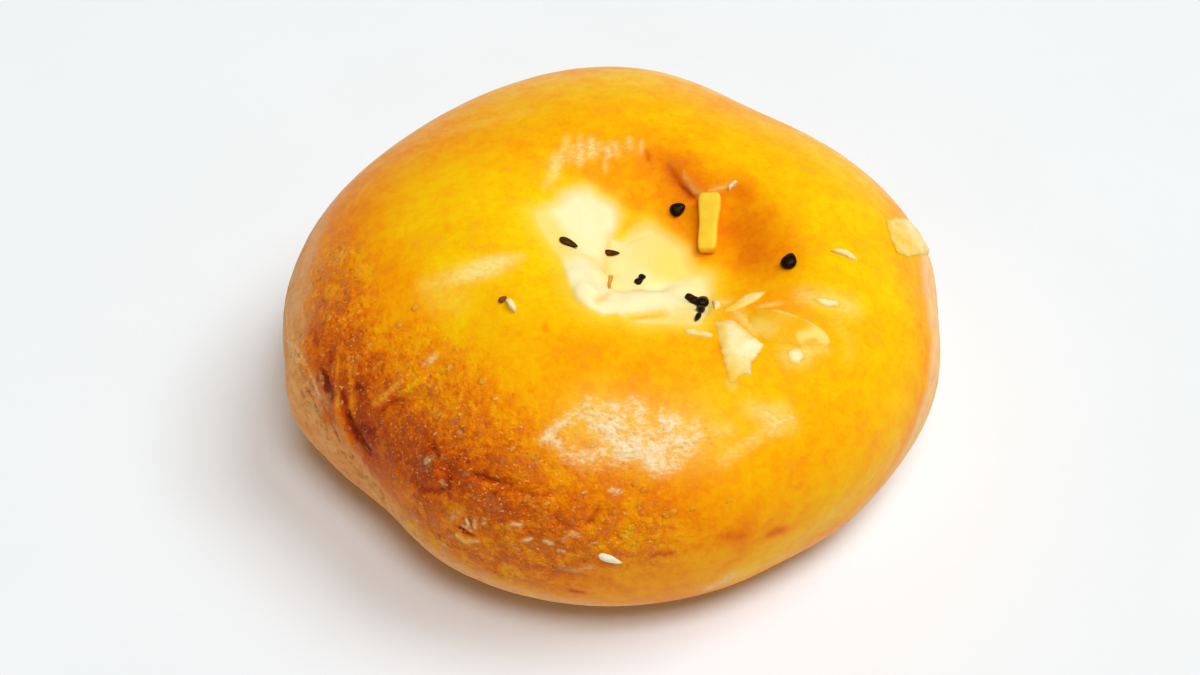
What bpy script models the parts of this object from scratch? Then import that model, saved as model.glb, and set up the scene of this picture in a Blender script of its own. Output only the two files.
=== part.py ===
"""Round glazed sweet bun with a pressed dimple and pieces of almond, at its real size.

Units are metres, +Z is up, and the origin is the middle of the flat base.
"""
import math

import bmesh
import bpy
from mathutils import Vector

MM = 0.001

# The bun before its dimple is pressed in
CROWN_HEIGHT = 46.0 * MM
BELT_HEIGHT = 18.5 * MM
BELT_RADIUS = 51.4 * MM
BASE_SHARE = 0.72
ROUNDNESS = 2.2

# Swellings of the outline seen from above: how many, how high, and the direction of one
OUTLINE_SWELLS = (
    (2, 1.1 * MM, 0.0),
    (3, 0.75 * MM, -27.0),
    (4, 0.9 * MM, -4.0),
)

# Soft flats and knuckles of the outline: direction, height and half-width in degrees
OUTLINE_SPOTS = (
    (220.0, -2.4 * MM, 8.7),
    (59.0, -2.9 * MM, 14.0),
    (-3.0, -1.8 * MM, 7.6),
    (198.0, 1.0 * MM, 3.0),
    (333.0, -1.3 * MM, 11.0),
    (304.0, -0.5 * MM, 6.4),
)

# Dimple: an oval dent with a soft floor, its long way turned from +X
DIMPLE_X = 8.0 * MM
DIMPLE_Y = -3.0 * MM
DIMPLE_TURN = -30.0
DIMPLE_HALF_LENGTH = 18.5 * MM
DIMPLE_HALF_WIDTH = 15.0 * MM
DIMPLE_DEPTH = 10.0 * MM
DIMPLE_FLATNESS = 1.4

# Folds of dough on the dimple's floor: x, y, reach along x, reach along y, height
FOLDS = (
    (-5.0 * MM, 4.0 * MM, 5.0 * MM, 6.0 * MM, 1.2 * MM),
    (-5.5 * MM, -11.5 * MM, 3.6 * MM, 6.0 * MM, 1.2 * MM),
    (5.5 * MM, -4.0 * MM, 5.0 * MM, 5.0 * MM, 1.0 * MM),
    (5.5 * MM, -14.5 * MM, 6.0 * MM, 3.2 * MM, 1.0 * MM),
)

# Almond pieces
GAP = 0.3 * MM
FLAKE_THICKNESS = 1.0 * MM
FLAKE_STEP = 1.2 * MM
FLAKE_RINGS = 4
STICK_LENGTH = 10.0 * MM
STICK_WIDTH = 2.8 * MM
STICK_THICKNESS = 1.8 * MM
STICK_CORNER = 0.4 * MM
STICK_TOP_SHARE = 0.86
STICK_X = 14.3 * MM
STICK_Y = 2.6 * MM

# Outline of each flake seen from above, in millimetres from the bun's middle
FLAKE_OUTLINES = {
    "flake_front": ((14.8, -19.4), (17.2, -19.9), (21.2, -24.2), (19.6, -26.2), (19.4, -29.2),
                    (16.7, -31.2), (15.2, -25.0)),
    "flake_amber": ((20.3, -19.3), (21.6, -16.0), (25.0, -15.4), (28.6, -17.8), (32.0, -20.2),
                    (31.5, -22.4), (27.0, -24.2), (22.9, -22.6)),
    "flake_sliver": ((15.4, -16.6), (18.2, -13.6), (22.4, -12.0), (19.4, -14.7)),
    "flake_rim": ((42.4, 3.0), (43.2, 7.2), (45.6, 10.6), (48.6, 8.6), (49.6, 4.6), (47.0, 0.8),
                  (44.0, 0.2)),
}

# Fineness of the bun's mesh
SEGMENTS = 72
CROWN_RINGS = 44
UNDERSIDE_RINGS = 12
SLOPE_STEP = 0.05 * MM

GLAZE_COLOR = (0.95, 0.40, 0.01, 1.0)
GLAZE_ROUGHNESS = 0.45
ALMOND_COLOR = (0.93, 0.80, 0.48, 1.0)
ALMOND_ROUGHNESS = 0.6


def plan_radius(angle):
    """Distance from the bun's middle to its belt, in a direction given in radians."""
    radius = BELT_RADIUS
    for count, height, toward in OUTLINE_SWELLS:
        radius += height * math.cos(count * (angle - math.radians(toward)))
    for toward, height, half_width in OUTLINE_SPOTS:
        away = (math.degrees(angle) - toward + 180.0) % 360.0 - 180.0
        radius += height * math.exp(-0.5 * (away / half_width) ** 2)
    return radius


def plan_middle():
    """Middle of the box round the belt's outline, which becomes the origin."""
    turns = [math.radians(degree) for degree in range(360)]
    xs = [plan_radius(turn) * math.cos(turn) for turn in turns]
    ys = [plan_radius(turn) * math.sin(turn) for turn in turns]
    return Vector(((min(xs) + max(xs)) / 2, (min(ys) + max(ys)) / 2, 0.0))


def dimple_drop(x, y):
    """How far the dimple lowers the crown at a place seen from above."""
    turn = math.radians(DIMPLE_TURN)
    dx, dy = x - DIMPLE_X, y - DIMPLE_Y
    along = (dx * math.cos(turn) + dy * math.sin(turn)) / DIMPLE_HALF_LENGTH
    across = (dy * math.cos(turn) - dx * math.sin(turn)) / DIMPLE_HALF_WIDTH
    return DIMPLE_DEPTH * math.exp(-((along * along + across * across) ** DIMPLE_FLATNESS))


def fold_rise(x, y):
    """How far the folds lift the dimple's floor at a place seen from above."""
    rise = 0.0
    for fold_x, fold_y, reach_x, reach_y, height in FOLDS:
        far = ((x - fold_x) / reach_x) ** 2 + ((y - fold_y) / reach_y) ** 2
        rise += height * math.exp(-far)
    return rise


def crown_height(x, y):
    """Height of the bun's upper side at a place seen from above."""
    share = min(math.hypot(x, y) / plan_radius(math.atan2(y, x)), 1.0)
    dome = (CROWN_HEIGHT - BELT_HEIGHT) * (1.0 - share * share) ** (1.0 / ROUNDNESS)
    return BELT_HEIGHT + dome - dimple_drop(x, y) + fold_rise(x, y)


def crown_normal(x, y):
    """Outward direction of the bun's upper side at a place seen from above."""
    rise_x = crown_height(x + SLOPE_STEP, y) - crown_height(x - SLOPE_STEP, y)
    rise_y = crown_height(x, y + SLOPE_STEP) - crown_height(x, y - SLOPE_STEP)
    return Vector((-rise_x, -rise_y, 2 * SLOPE_STEP)).normalized()


def new_material(name, color, roughness):
    """Plain finish with a base colour and a roughness."""
    material = bpy.data.materials.new(name)
    material.use_nodes = True
    shader = material.node_tree.nodes["Principled BSDF"]
    shader.inputs["Base Color"].default_value = color
    shader.inputs["Roughness"].default_value = roughness
    return material


def add_object(name, mesh_data, material):
    """Turn a bmesh, given round the bun's middle, into a named object round the origin."""
    bmesh.ops.translate(mesh_data, verts=mesh_data.verts, vec=-plan_middle())
    bmesh.ops.recalc_face_normals(mesh_data, faces=mesh_data.faces)
    mesh = bpy.data.meshes.new(name)
    mesh_data.to_mesh(mesh)
    mesh_data.free()
    mesh.materials.append(material)
    mesh.shade_smooth()
    created = bpy.data.objects.new(name, mesh)
    bpy.context.collection.objects.link(created)
    return created


def join_rings(mesh_data, rings):
    """Skin neighbouring closed rings of vertices with faces."""
    for upper, lower in zip(rings, rings[1:]):
        count = len(upper)
        for index in range(count):
            after = (index + 1) % count
            mesh_data.faces.new((upper[index], lower[index], lower[after], upper[after]))


def close_ring(mesh_data, ring, middle):
    """Fill a closed ring with a fan of triangles round a middle vertex."""
    for index, vertex in enumerate(ring):
        mesh_data.faces.new((middle, vertex, ring[(index + 1) % len(ring)]))


def build_bun(material):
    """Closed body of dough: crown with its dimple, belt, rounded underside, flat base."""
    mesh_data = bmesh.new()
    turns = [2 * math.pi * index / SEGMENTS for index in range(SEGMENTS)]
    rings = []
    for step in range(1, CROWN_RINGS + 1):
        share = math.sin(math.pi / 2 * step / CROWN_RINGS)
        ring = []
        for turn in turns:
            x = DIMPLE_X * (1 - share) + share * plan_radius(turn) * math.cos(turn)
            y = DIMPLE_Y * (1 - share) + share * plan_radius(turn) * math.sin(turn)
            ring.append(mesh_data.verts.new((x, y, crown_height(x, y))))
        rings.append(ring)
    for step in range(1, UNDERSIDE_RINGS + 1):
        quarter = math.pi / 2 * step / UNDERSIDE_RINGS
        share = BASE_SHARE + (1 - BASE_SHARE) * abs(math.cos(quarter)) ** (2 / ROUNDNESS)
        height = BELT_HEIGHT * (1 - math.sin(quarter) ** (2 / ROUNDNESS))
        if step == UNDERSIDE_RINGS:
            share, height = BASE_SHARE, 0.0
        rings.append([
            mesh_data.verts.new((share * plan_radius(turn) * math.cos(turn),
                                 share * plan_radius(turn) * math.sin(turn), height))
            for turn in turns
        ])
    join_rings(mesh_data, rings)
    floor_of_dimple = (DIMPLE_X, DIMPLE_Y, crown_height(DIMPLE_X, DIMPLE_Y))
    close_ring(mesh_data, rings[0], mesh_data.verts.new(floor_of_dimple))
    close_ring(mesh_data, rings[-1], mesh_data.verts.new((0.0, 0.0, 0.0)))
    return add_object("bun", mesh_data, material)


def edge_points(outline):
    """Points of an outline in metres, with its long edges divided evenly."""
    points = []
    corners = [Vector((x * MM, y * MM)) for x, y in outline]
    for start, end in zip(corners, corners[1:] + corners[:1]):
        count = max(1, round((end - start).length / FLAKE_STEP))
        points += [start.lerp(end, index / count) for index in range(count)]
    return points


def build_flake(name, outline, material):
    """Thin flake that follows the crown under it, a gap clear of it."""
    mesh_data = bmesh.new()
    edge = edge_points(outline)
    middle = sum(edge, Vector((0.0, 0.0))) / len(edge)
    sides = []
    for lift in (GAP, GAP + FLAKE_THICKNESS):
        rings = []
        for step in range(1, FLAKE_RINGS + 1):
            ring = []
            for point in edge:
                place = middle.lerp(point, step / FLAKE_RINGS)
                surface = Vector((place.x, place.y, crown_height(place.x, place.y)))
                ring.append(mesh_data.verts.new(surface + lift * crown_normal(place.x, place.y)))
            rings.append(ring)
        surface = Vector((middle.x, middle.y, crown_height(middle.x, middle.y)))
        centre = mesh_data.verts.new(surface + lift * crown_normal(middle.x, middle.y))
        close_ring(mesh_data, rings[0], centre)
        join_rings(mesh_data, rings)
        sides.append(rings[-1])
    join_rings(mesh_data, sides)
    return add_object(name, mesh_data, material)


def stick_section(width, thickness):
    """Corners of the stick's cross-section, with each corner cut off."""
    half_width, half_thickness = width / 2, thickness / 2
    corners = []
    for side, face in ((1, 1), (-1, 1), (-1, -1), (1, -1)):
        cut = [(side * half_width, face * (half_thickness - STICK_CORNER)),
               (side * (half_width - STICK_CORNER), face * half_thickness)]
        corners += cut if side == face else reversed(cut)
    return corners


def build_stick(material):
    """Cut almond stick that leans on the dimple's back wall, a gap clear of it."""
    foot_y, head_y = STICK_Y - STICK_LENGTH / 2, STICK_Y + STICK_LENGTH / 2
    foot = Vector((STICK_X, foot_y, crown_height(STICK_X, foot_y)))
    head = Vector((STICK_X, head_y, crown_height(STICK_X, head_y)))
    along = (head - foot).normalized()
    out = (crown_normal(STICK_X, foot_y) + crown_normal(STICK_X, head_y)).normalized()
    out = (out - along * out.dot(along)).normalized()
    side = along.cross(out)
    middle = (foot + head) / 2
    mesh_data = bmesh.new()
    rings = []
    for reach, share in ((-0.5, 1.0), (0.0, 1.0), (0.5, STICK_TOP_SHARE)):
        section = stick_section(STICK_WIDTH * share, STICK_THICKNESS)
        rings.append([
            mesh_data.verts.new(middle + along * (reach * STICK_LENGTH) + side * a + out * b)
            for a, b in section
        ])
    join_rings(mesh_data, rings)
    mesh_data.faces.new(rings[0])
    mesh_data.faces.new(rings[-1])
    sunk = max(crown_height(vert.co.x, vert.co.y) - vert.co.z for vert in mesh_data.verts)
    bmesh.ops.translate(mesh_data, verts=mesh_data.verts, vec=out * (sunk + GAP) / out.z)
    return add_object("almond_stick", mesh_data, material)


def main():
    """Clear the scene and build the bun and its almond pieces."""
    for existing in list(bpy.data.objects):
        bpy.data.objects.remove(existing, do_unlink=True)
    glaze = new_material("golden_glaze", GLAZE_COLOR, GLAZE_ROUGHNESS)
    almond = new_material("almond", ALMOND_COLOR, ALMOND_ROUGHNESS)
    build_bun(glaze)
    build_stick(almond)
    for name, outline in FLAKE_OUTLINES.items():
        build_flake(name, outline, almond)


main()
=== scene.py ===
import logging
import math
from dataclasses import asdict, dataclass
from enum import Enum

import bpy
import numpy as np
from mathutils import Matrix, Vector
from mathutils.bvhtree import BVHTree


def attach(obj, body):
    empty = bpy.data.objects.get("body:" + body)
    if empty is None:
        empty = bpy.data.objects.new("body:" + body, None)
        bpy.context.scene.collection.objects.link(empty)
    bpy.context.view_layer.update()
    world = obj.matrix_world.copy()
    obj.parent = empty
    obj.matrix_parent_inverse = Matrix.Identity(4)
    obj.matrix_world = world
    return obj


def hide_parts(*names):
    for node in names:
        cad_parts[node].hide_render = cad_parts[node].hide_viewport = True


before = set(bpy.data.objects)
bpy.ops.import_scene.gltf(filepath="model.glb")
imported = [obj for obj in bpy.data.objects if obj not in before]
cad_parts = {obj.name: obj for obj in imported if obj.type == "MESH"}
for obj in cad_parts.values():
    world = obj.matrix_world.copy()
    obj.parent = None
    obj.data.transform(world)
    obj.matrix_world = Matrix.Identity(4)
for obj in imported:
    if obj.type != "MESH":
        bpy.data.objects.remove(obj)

LOG = logging.getLogger("bun")
MM = 0.001
BODY = "root"

Pixel = tuple[float, float]
Outline = tuple[Pixel, ...]
Color = tuple[float, float, float]
Array = np.ndarray
Piece = bpy.types.Object
Material = bpy.types.Material
Tree = bpy.types.NodeTree
Socket = bpy.types.NodeSocket
Input = float | tuple | Socket


def smooth(value: Array, low: float, high: float) -> Array:
    """Ease from 0 at low to 1 at high.

    Args:
        value: Numbers to ease.
        low: Where the result leaves 0.
        high: Where the result reaches 1.

    Returns:
        Numbers from 0 to 1.
    """
    share = np.clip((value - low) / (high - low), 0.0, 1.0)
    return share * share * (3.0 - 2.0 * share)


def bell(value: Array) -> Array:
    """Fall smoothly from 1 at 0 towards 0 on both sides."""
    return np.exp(-(value**2))


def unit(direction: Array) -> Array:
    """Give a direction the length 1."""
    return direction / np.linalg.norm(direction)


def add_object(name: str, data: bpy.types.ID) -> Piece:
    """Add an object with its data to the scene.

    Args:
        name: Name of the object.
        data: Its mesh, lamp or camera.

    Returns:
        The object.
    """
    added = bpy.data.objects.new(name, data)
    bpy.context.scene.collection.objects.link(added)
    return added


def rgba(color: Color) -> tuple[float, float, float, float]:
    """Give a colour full opacity."""
    return (*color, 1.0)


def srgb(red: int, green: int, blue: int) -> Color:
    """Turn a colour as a screen shows it into the linear one that shaders use.

    Args:
        red: Red from 0 to 255.
        green: Green from 0 to 255.
        blue: Blue from 0 to 255.

    Returns:
        The linear colour.
    """
    shares = [value / 255.0 for value in (red, green, blue)]
    return tuple(s / 12.92 if s <= 0.04045 else ((s + 0.055) / 1.055) ** 2.4 for s in shares)


@dataclass(frozen=True)
class PhotoCamera:
    """The camera at the photograph's viewing angle, in millimetres and degrees."""

    lens: float = 70.0
    sensor: float = 36.0
    elevation: float = 48.0
    distance: float = 374.0
    target: tuple[float, float, float] = (-1.8, -4.0, 18.0)
    image_width: int = 1200
    image_height: int = 675

    def axes(self) -> tuple[Array, Array, Array]:
        """Work out how the picture lies.

        Returns:
            The directions right, up and forward of the picture.
        """
        tilt = math.radians(self.elevation)
        right = np.array([1.0, 0.0, 0.0])
        up = np.array([0.0, math.sin(tilt), math.cos(tilt)])
        forward = np.array([0.0, math.cos(tilt), -math.sin(tilt)])
        return right, up, forward

    def place(self) -> Array:
        """Find where the camera stands."""
        return np.array(self.target) - self.distance * self.axes()[2]

    def ray(self, pixel: Pixel) -> Array:
        """Point a ray through a pixel of the photograph.

        Args:
            pixel: Pixel of the 1200 by 675 photograph.

        Returns:
            The ray's direction, of length 1.
        """
        right, up, forward = self.axes()
        focal = self.lens / self.sensor * self.image_width
        across = (pixel[0] - self.image_width / 2) / focal
        along = (self.image_height / 2 - pixel[1]) / focal
        return unit(forward + across * right + along * up)

    def build(self) -> None:
        """Add the camera to the scene."""
        data = bpy.data.cameras.new("photo_camera")
        data.lens = self.lens
        data.sensor_width = self.sensor
        camera = add_object(data.name, data)
        camera.location = Vector(self.place()) * MM
        camera.rotation_euler = (math.radians(90.0 - self.elevation), 0.0, 0.0)
        bpy.context.scene.camera = camera


@dataclass(frozen=True)
class BunForm:
    """The bun's shape, as its base model gives it, in millimetres and degrees.

    A swell of the belt has a count, a height and a direction. A spot has a direction, a height and
    a half-width. A fold on the dimple's floor has its place, its reach each way and its height.
    """

    crown_height: float = 46.0
    belt_height: float = 18.5
    belt_radius: float = 51.4
    base_share: float = 0.72
    roundness: float = 2.2
    swells: tuple[tuple[int, float, float], ...] = ((2, 1.1, 0.0), (3, 0.75, -27.0), (4, 0.9, -4.0))
    spots: tuple[tuple[float, float, float], ...] = (
        (220.0, -2.4, 8.7), (59.0, -2.9, 14.0), (-3.0, -1.8, 7.6),
        (198.0, 1.0, 3.0), (333.0, -1.3, 11.0), (304.0, -0.5, 6.4))
    dimple_x: float = 8.0
    dimple_y: float = -3.0
    dimple_turn: float = -30.0
    dimple_half_length: float = 18.5
    dimple_half_width: float = 15.0
    dimple_depth: float = 10.0
    dimple_flatness: float = 1.4
    folds: tuple[tuple[float, ...], ...] = (
        (-5.0, 4.0, 5.0, 6.0, 1.2), (-5.5, -11.5, 3.6, 6.0, 1.2),
        (5.5, -4.0, 5.0, 5.0, 1.0), (5.5, -14.5, 6.0, 3.2, 1.0))

    def plan_radius(self, angle: Array) -> Array:
        """Find the distance from the bun's middle to its belt.

        Args:
            angle: Directions in radians.

        Returns:
            The distance in each direction.
        """
        radius = np.full_like(angle, self.belt_radius)
        for count, height, toward in self.swells:
            radius += height * np.cos(count * (angle - math.radians(toward)))
        for toward, height, half_width in self.spots:
            away = (np.degrees(angle) - toward + 180.0) % 360.0 - 180.0
            radius += height * np.exp(-0.5 * (away / half_width) ** 2)
        return radius

    def middle(self) -> Array:
        """Find the model's origin.

        Returns:
            The middle of the box round the belt.
        """
        turns = np.radians(np.arange(360.0))
        reach = self.plan_radius(turns)
        ends = [(side.min() + side.max()) / 2 for side in (reach * np.cos(turns), reach * np.sin(turns))]
        return np.array([*ends, 0.0])

    def height(self, x: Array, y: Array) -> Array:
        """Find the height of the crown at places seen from above.

        Args:
            x: Distances to the right of the bun's middle.
            y: Distances behind the bun's middle.

        Returns:
            The heights above the base.
        """
        share = np.minimum(np.hypot(x, y) / self.plan_radius(np.arctan2(y, x)), 1.0)
        dome = (self.crown_height - self.belt_height) * (1.0 - share**2) ** (1.0 / self.roundness)
        turn = math.radians(self.dimple_turn)
        dx, dy = x - self.dimple_x, y - self.dimple_y
        along = (dx * math.cos(turn) + dy * math.sin(turn)) / self.dimple_half_length
        across = (dy * math.cos(turn) - dx * math.sin(turn)) / self.dimple_half_width
        drop = self.dimple_depth * np.exp(-((along**2 + across**2) ** self.dimple_flatness))
        rise = np.zeros_like(x)
        for fold_x, fold_y, reach_x, reach_y, height in self.folds:
            rise += height * np.exp(-(((x - fold_x) / reach_x) ** 2 + ((y - fold_y) / reach_y) ** 2))
        return self.belt_height + dome - drop + rise


@dataclass(frozen=True)
class Stroke:
    """A soft mark along the crust, through pixels of the photograph.

    The reach is a half-width in millimetres, and the levels run from the mark's start to its end.
    """

    reach: float
    levels: tuple[float, ...]
    path: tuple[Pixel, ...]


def strokes(*rows: tuple) -> tuple[Stroke, ...]:
    """Make strokes from plain rows.

    Args:
        rows: For each stroke its reach, its level or levels, and the pixels along its path.

    Returns:
        The strokes.
    """
    made = []
    for reach, levels, *path in rows:
        made.append(Stroke(reach, levels if isinstance(levels, tuple) else (levels,), tuple(path)))
    return tuple(made)


@dataclass
class Canvas:
    """The bun's surface as points in millimetres that marks are laid on."""

    points: Array
    faces: Array
    camera: PhotoCamera

    def __post_init__(self) -> None:
        """Prepare the surface for rays."""
        self.tree = BVHTree.FromPolygons(self.points.tolist(), self.faces.tolist())

    def cast(self, pixel: Pixel) -> tuple[Vector, Vector]:
        """Find what a pixel of the photograph shows of the surface.

        Args:
            pixel: Pixel of the photograph, on the bun.

        Returns:
            The place in millimetres and the direction out of the surface.
        """
        start, ray = Vector(self.camera.place()), Vector(self.camera.ray(pixel))
        place, normal, _, _ = self.tree.ray_cast(start, ray)
        if place is None:
            raise ValueError(f"pixel {pixel} is not on the bun")
        return place, normal

    def trace(self, stroke: Stroke, step: float = 9.0) -> tuple[Array, Array]:
        """Follow a stroke along the surface.

        Args:
            stroke: Mark to follow.
            step: Longest distance between two looks, in pixels.

        Returns:
            The places along it and the level at each.
        """
        pixels, levels = [], []
        shares = [np.linspace(0.0, 1.0, len(row)) for row in (stroke.path, stroke.levels)]
        given = np.interp(*shares, stroke.levels)
        for index in range(len(stroke.path) - 1):
            start, end = (np.array(stroke.path[index + side], float) for side in (0, 1))
            count = max(1, math.ceil(np.linalg.norm(end - start) / step))
            for share in np.arange(count) / count:
                pixels.append(start + share * (end - start))
                levels.append(given[index] + share * (given[index + 1] - given[index]))
        pixels.append(np.array(stroke.path[-1], float))
        levels.append(given[-1])
        return np.array([self.cast(tuple(pixel))[0] for pixel in pixels]), np.array(levels)

    def distance(self, stroke: Stroke, at: Array | None = None) -> tuple[Array, Array]:
        """Measure how far points are from a stroke.

        Args:
            stroke: Mark to measure from.
            at: The points, or nothing for the surface's own.

        Returns:
            The distances in millimetres, and the stroke's level at the nearest place.
        """
        points = self.points if at is None else at
        places, levels = self.trace(stroke)
        nearest = np.full(len(points), np.inf)
        level = np.full(len(points), levels[0])
        if len(places) == 1:
            places, levels = np.repeat(places, 2, axis=0), np.repeat(levels, 2)
        for index in range(len(places) - 1):
            along = places[index + 1] - places[index]
            length = max(float(along @ along), 1e-9)
            share = np.clip((points - places[index]) @ along / length, 0.0, 1.0)
            away = np.linalg.norm(points - places[index] - share[:, None] * along, axis=1)
            closer = away < nearest
            nearest[closer] = away[closer]
            level[closer] = (levels[index] + share * (levels[index + 1] - levels[index]))[closer]
        return nearest, level

    def tone(self, marks: tuple[Stroke, ...], rest: float, at: Array | None = None,
             hold: float = 0.06) -> Array:
        """Blend the levels of broad strokes into one another.

        Args:
            marks: Strokes whose levels are reached along them.
            rest: Level far from every mark.
            at: The points, or nothing for the surface's own.
            hold: How strongly the level at rest keeps its ground.

        Returns:
            The blended level at every point.
        """
        count = len(self.points if at is None else at)
        total, weight = np.full(count, rest * hold), np.full(count, hold)
        for stroke in marks:
            away, level = self.distance(stroke, at)
            share = bell(away / stroke.reach)
            total += level * share
            weight += share
        return total / weight

    def paint(self, marks: tuple[Stroke, ...]) -> Array:
        """Add up soft marks.

        Args:
            marks: Strokes to lay on the surface.

        Returns:
            The sum of the marks at every point.
        """
        total = np.zeros(len(self.points))
        for stroke in marks:
            away, level = self.distance(stroke)
            total += level * bell(away / stroke.reach)
        return total

    def inside(self, outline: tuple[Pixel, ...]) -> Array:
        """Measure how deep every point lies in an outline, seen from above.

        Args:
            outline: Closed outline through pixels on the crown.

        Returns:
            Distances to the outline in millimetres, positive inside it.
        """
        corners = np.array([self.cast(pixel)[0] for pixel in outline])[:, :2]
        flat = self.points[:, :2]
        nearest = np.full(len(flat), np.inf)
        within = np.zeros(len(flat), bool)
        for start, end in zip(corners, np.roll(corners, -1, axis=0)):
            along = end - start
            share = np.clip((flat - start) @ along / (along @ along), 0.0, 1.0)
            nearest = np.minimum(nearest, np.linalg.norm(flat - start - share[:, None] * along, axis=1))
            crosses = (start[1] > flat[:, 1]) != (end[1] > flat[:, 1])
            at = start[0] + (flat[:, 1] - start[1]) / (along[1] if along[1] else 1e-9) * along[0]
            within ^= crosses & (flat[:, 0] < at)
        return np.where(within, nearest, -nearest)


# Where the egg wash ends on the bun's side: direction in degrees and height in millimetres
WASH_EDGE = (
    (5.0, 29.4), (30.0, 26.0), (60.0, 20.0), (95.0, 17.5), (125.0, 19.5), (150.0, 26.0), (172.0, 31.8),
    (192.0, 30.6), (203.0, 26.5), (215.0, 20.5), (228.0, 16.0), (242.0, 12.0), (262.0, 8.5), (285.0, 4.5),
    (305.0, 4.5), (325.0, 11.0), (342.0, 27.0))

# Where the bare side is browned most: direction and half-width in degrees
SCORCH_TOWARD = 212.0
SCORCH_SPREAD = 30.0

# The pale folds of dough in the dimple, which the egg wash doesn't cover
PALE_OUTLINE = (
    (533, 212), (546, 208), (557, 206), (566, 194), (579, 190), (589, 189), (598, 197), (612, 205),
    (617, 213), (615, 227), (612, 238), (623, 242), (631, 236), (641, 229), (650, 226), (662, 235),
    (684, 250), (690, 268), (708, 275), (711, 292), (710, 310), (700, 326), (674, 325), (638, 324),
    (617, 314), (603, 315), (590, 310), (577, 300), (569, 283), (563, 262), (550, 244), (538, 228))
PALE_SOFT_SIDE = Stroke(4.0, (1.0,), ((548, 200), (600, 192), (632, 215), (690, 250), (712, 275)))

# How white the folds are
PALE_TONES = strokes(
    (3.4, 1.0, (575, 205), (592, 218), (600, 235)),
    (2.4, 1.0, (578, 268), (586, 285), (596, 300)),
    (1.4, 0.1, (540, 215), (552, 235), (562, 258)),
    (2.2, (0.12, 0.0, 0.0), (654, 248), (666, 262), (679, 275)),
    (1.6, 0.3, (644, 240), (645, 256)),
    (1.8, (0.25, 0.45, 0.55), (612, 245), (620, 266), (636, 282)),
    (1.0, 0.9, (655, 289), (680, 287)),
    (1.6, (1.0, 1.0, 0.55), (625, 303), (660, 298), (698, 288)),
    (1.0, 0.1, (620, 320), (655, 322), (690, 320)),
)

# Creases between the folds, where the egg wash has run in
PALE_CREASES = strokes(
    (0.6, 1.0, (630, 316), (648, 314), (664, 312)),
    (0.5, 0.5, (597, 302), (604, 298), (609, 293)),
    (0.6, (0.25, 0.35, 0.35), (608, 238), (608, 256), (609, 276)),
)

# How far the crust is baked, from golden to dark brown
BAKE_TONES = strokes(
    (7.0, (0.36, 0.29, 0.24, 0.19, 0.16), (345, 222), (400, 160), (470, 125), (560, 100), (640, 90)),
    (8.0, (0.13, 0.05, 0.12, 0.26), (440, 200), (480, 240), (500, 300), (560, 370)),
    (9.0, (0.2, 0.11, 0.1, 0.13, 0.17), (730, 110), (830, 180), (885, 260), (890, 340), (865, 420)),
    (6.0, (0.22, 0.25, 0.23), (845, 470), (780, 480), (800, 525)),
    (4.0, 0.11, (758, 416), (790, 428)),
    (7.0, (0.24, 0.25, 0.19), (620, 360), (660, 400), (740, 430)),
    (2.4, (0.18, 0.32, 0.32), (560, 155), (600, 162), (635, 158)),
    (5.0, (0.34, 0.48, 0.6, 0.7), (322, 250), (332, 300), (340, 350), (345, 395)),
    (1.6, 0.3, (625, 185), (648, 200)),
    (5.0, (0.72, 0.75, 0.7, 0.62), (350, 420), (390, 450), (430, 480), (480, 505)),
    (6.0, (0.64, 0.54, 0.46, 0.4), (500, 505), (560, 530), (640, 525), (720, 530)),
    (4.2, (0.3, 0.36, 0.38, 0.44, 0.38), (372, 255), (400, 330), (430, 380), (490, 420), (540, 455)),
    (3.2, (0.66, 0.58, 0.76, 0.62, 0.46), (378, 375), (398, 420), (440, 455), (500, 472), (600, 505)),
    (2.4, 0.9, (434, 466), (455, 478)),
    (2.6, 0.44, (392, 478), (410, 500)),
    (2.2, (0.34, 0.32, 0.38), (520, 462), (560, 470), (620, 488)),
    (2.0, 0.56, (480, 505), (500, 510)),
    (2.6, 0.42, (450, 512), (485, 528)),
    (5.0, (0.42, 0.42, 0.32, 0.24), (460, 540), (560, 562), (640, 562), (700, 560)),
    (3.0, (0.34, 0.3, 0.3), (610, 520), (660, 530), (700, 540)),
    (2.6, (0.14, 0.14, 0.12), (845, 500), (800, 540), (740, 572)),
    (3.0, (0.24, 0.28), (330, 250), (342, 268)),
    # The dimple's back and right walls: deeper bake, partly painted shade where they turn away from the light
    (3.2, (0.29, 0.4, 0.43, 0.34), (650, 155), (672, 172), (690, 200), (698, 232)),
    (4.2, (0.39, 0.47, 0.43, 0.25), (735, 205), (750, 235), (762, 262), (772, 285)),
    (1.6, 0.32, (721, 240), (724, 256)),
    (2.2, (0.24, 0.14), (720, 262), (728, 285)),
    (2.6, (0.1, 0.02, 0.02, 0.06, 0.14), (540, 180), (525, 215), (545, 262), (575, 312), (640, 335)),
)
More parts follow.
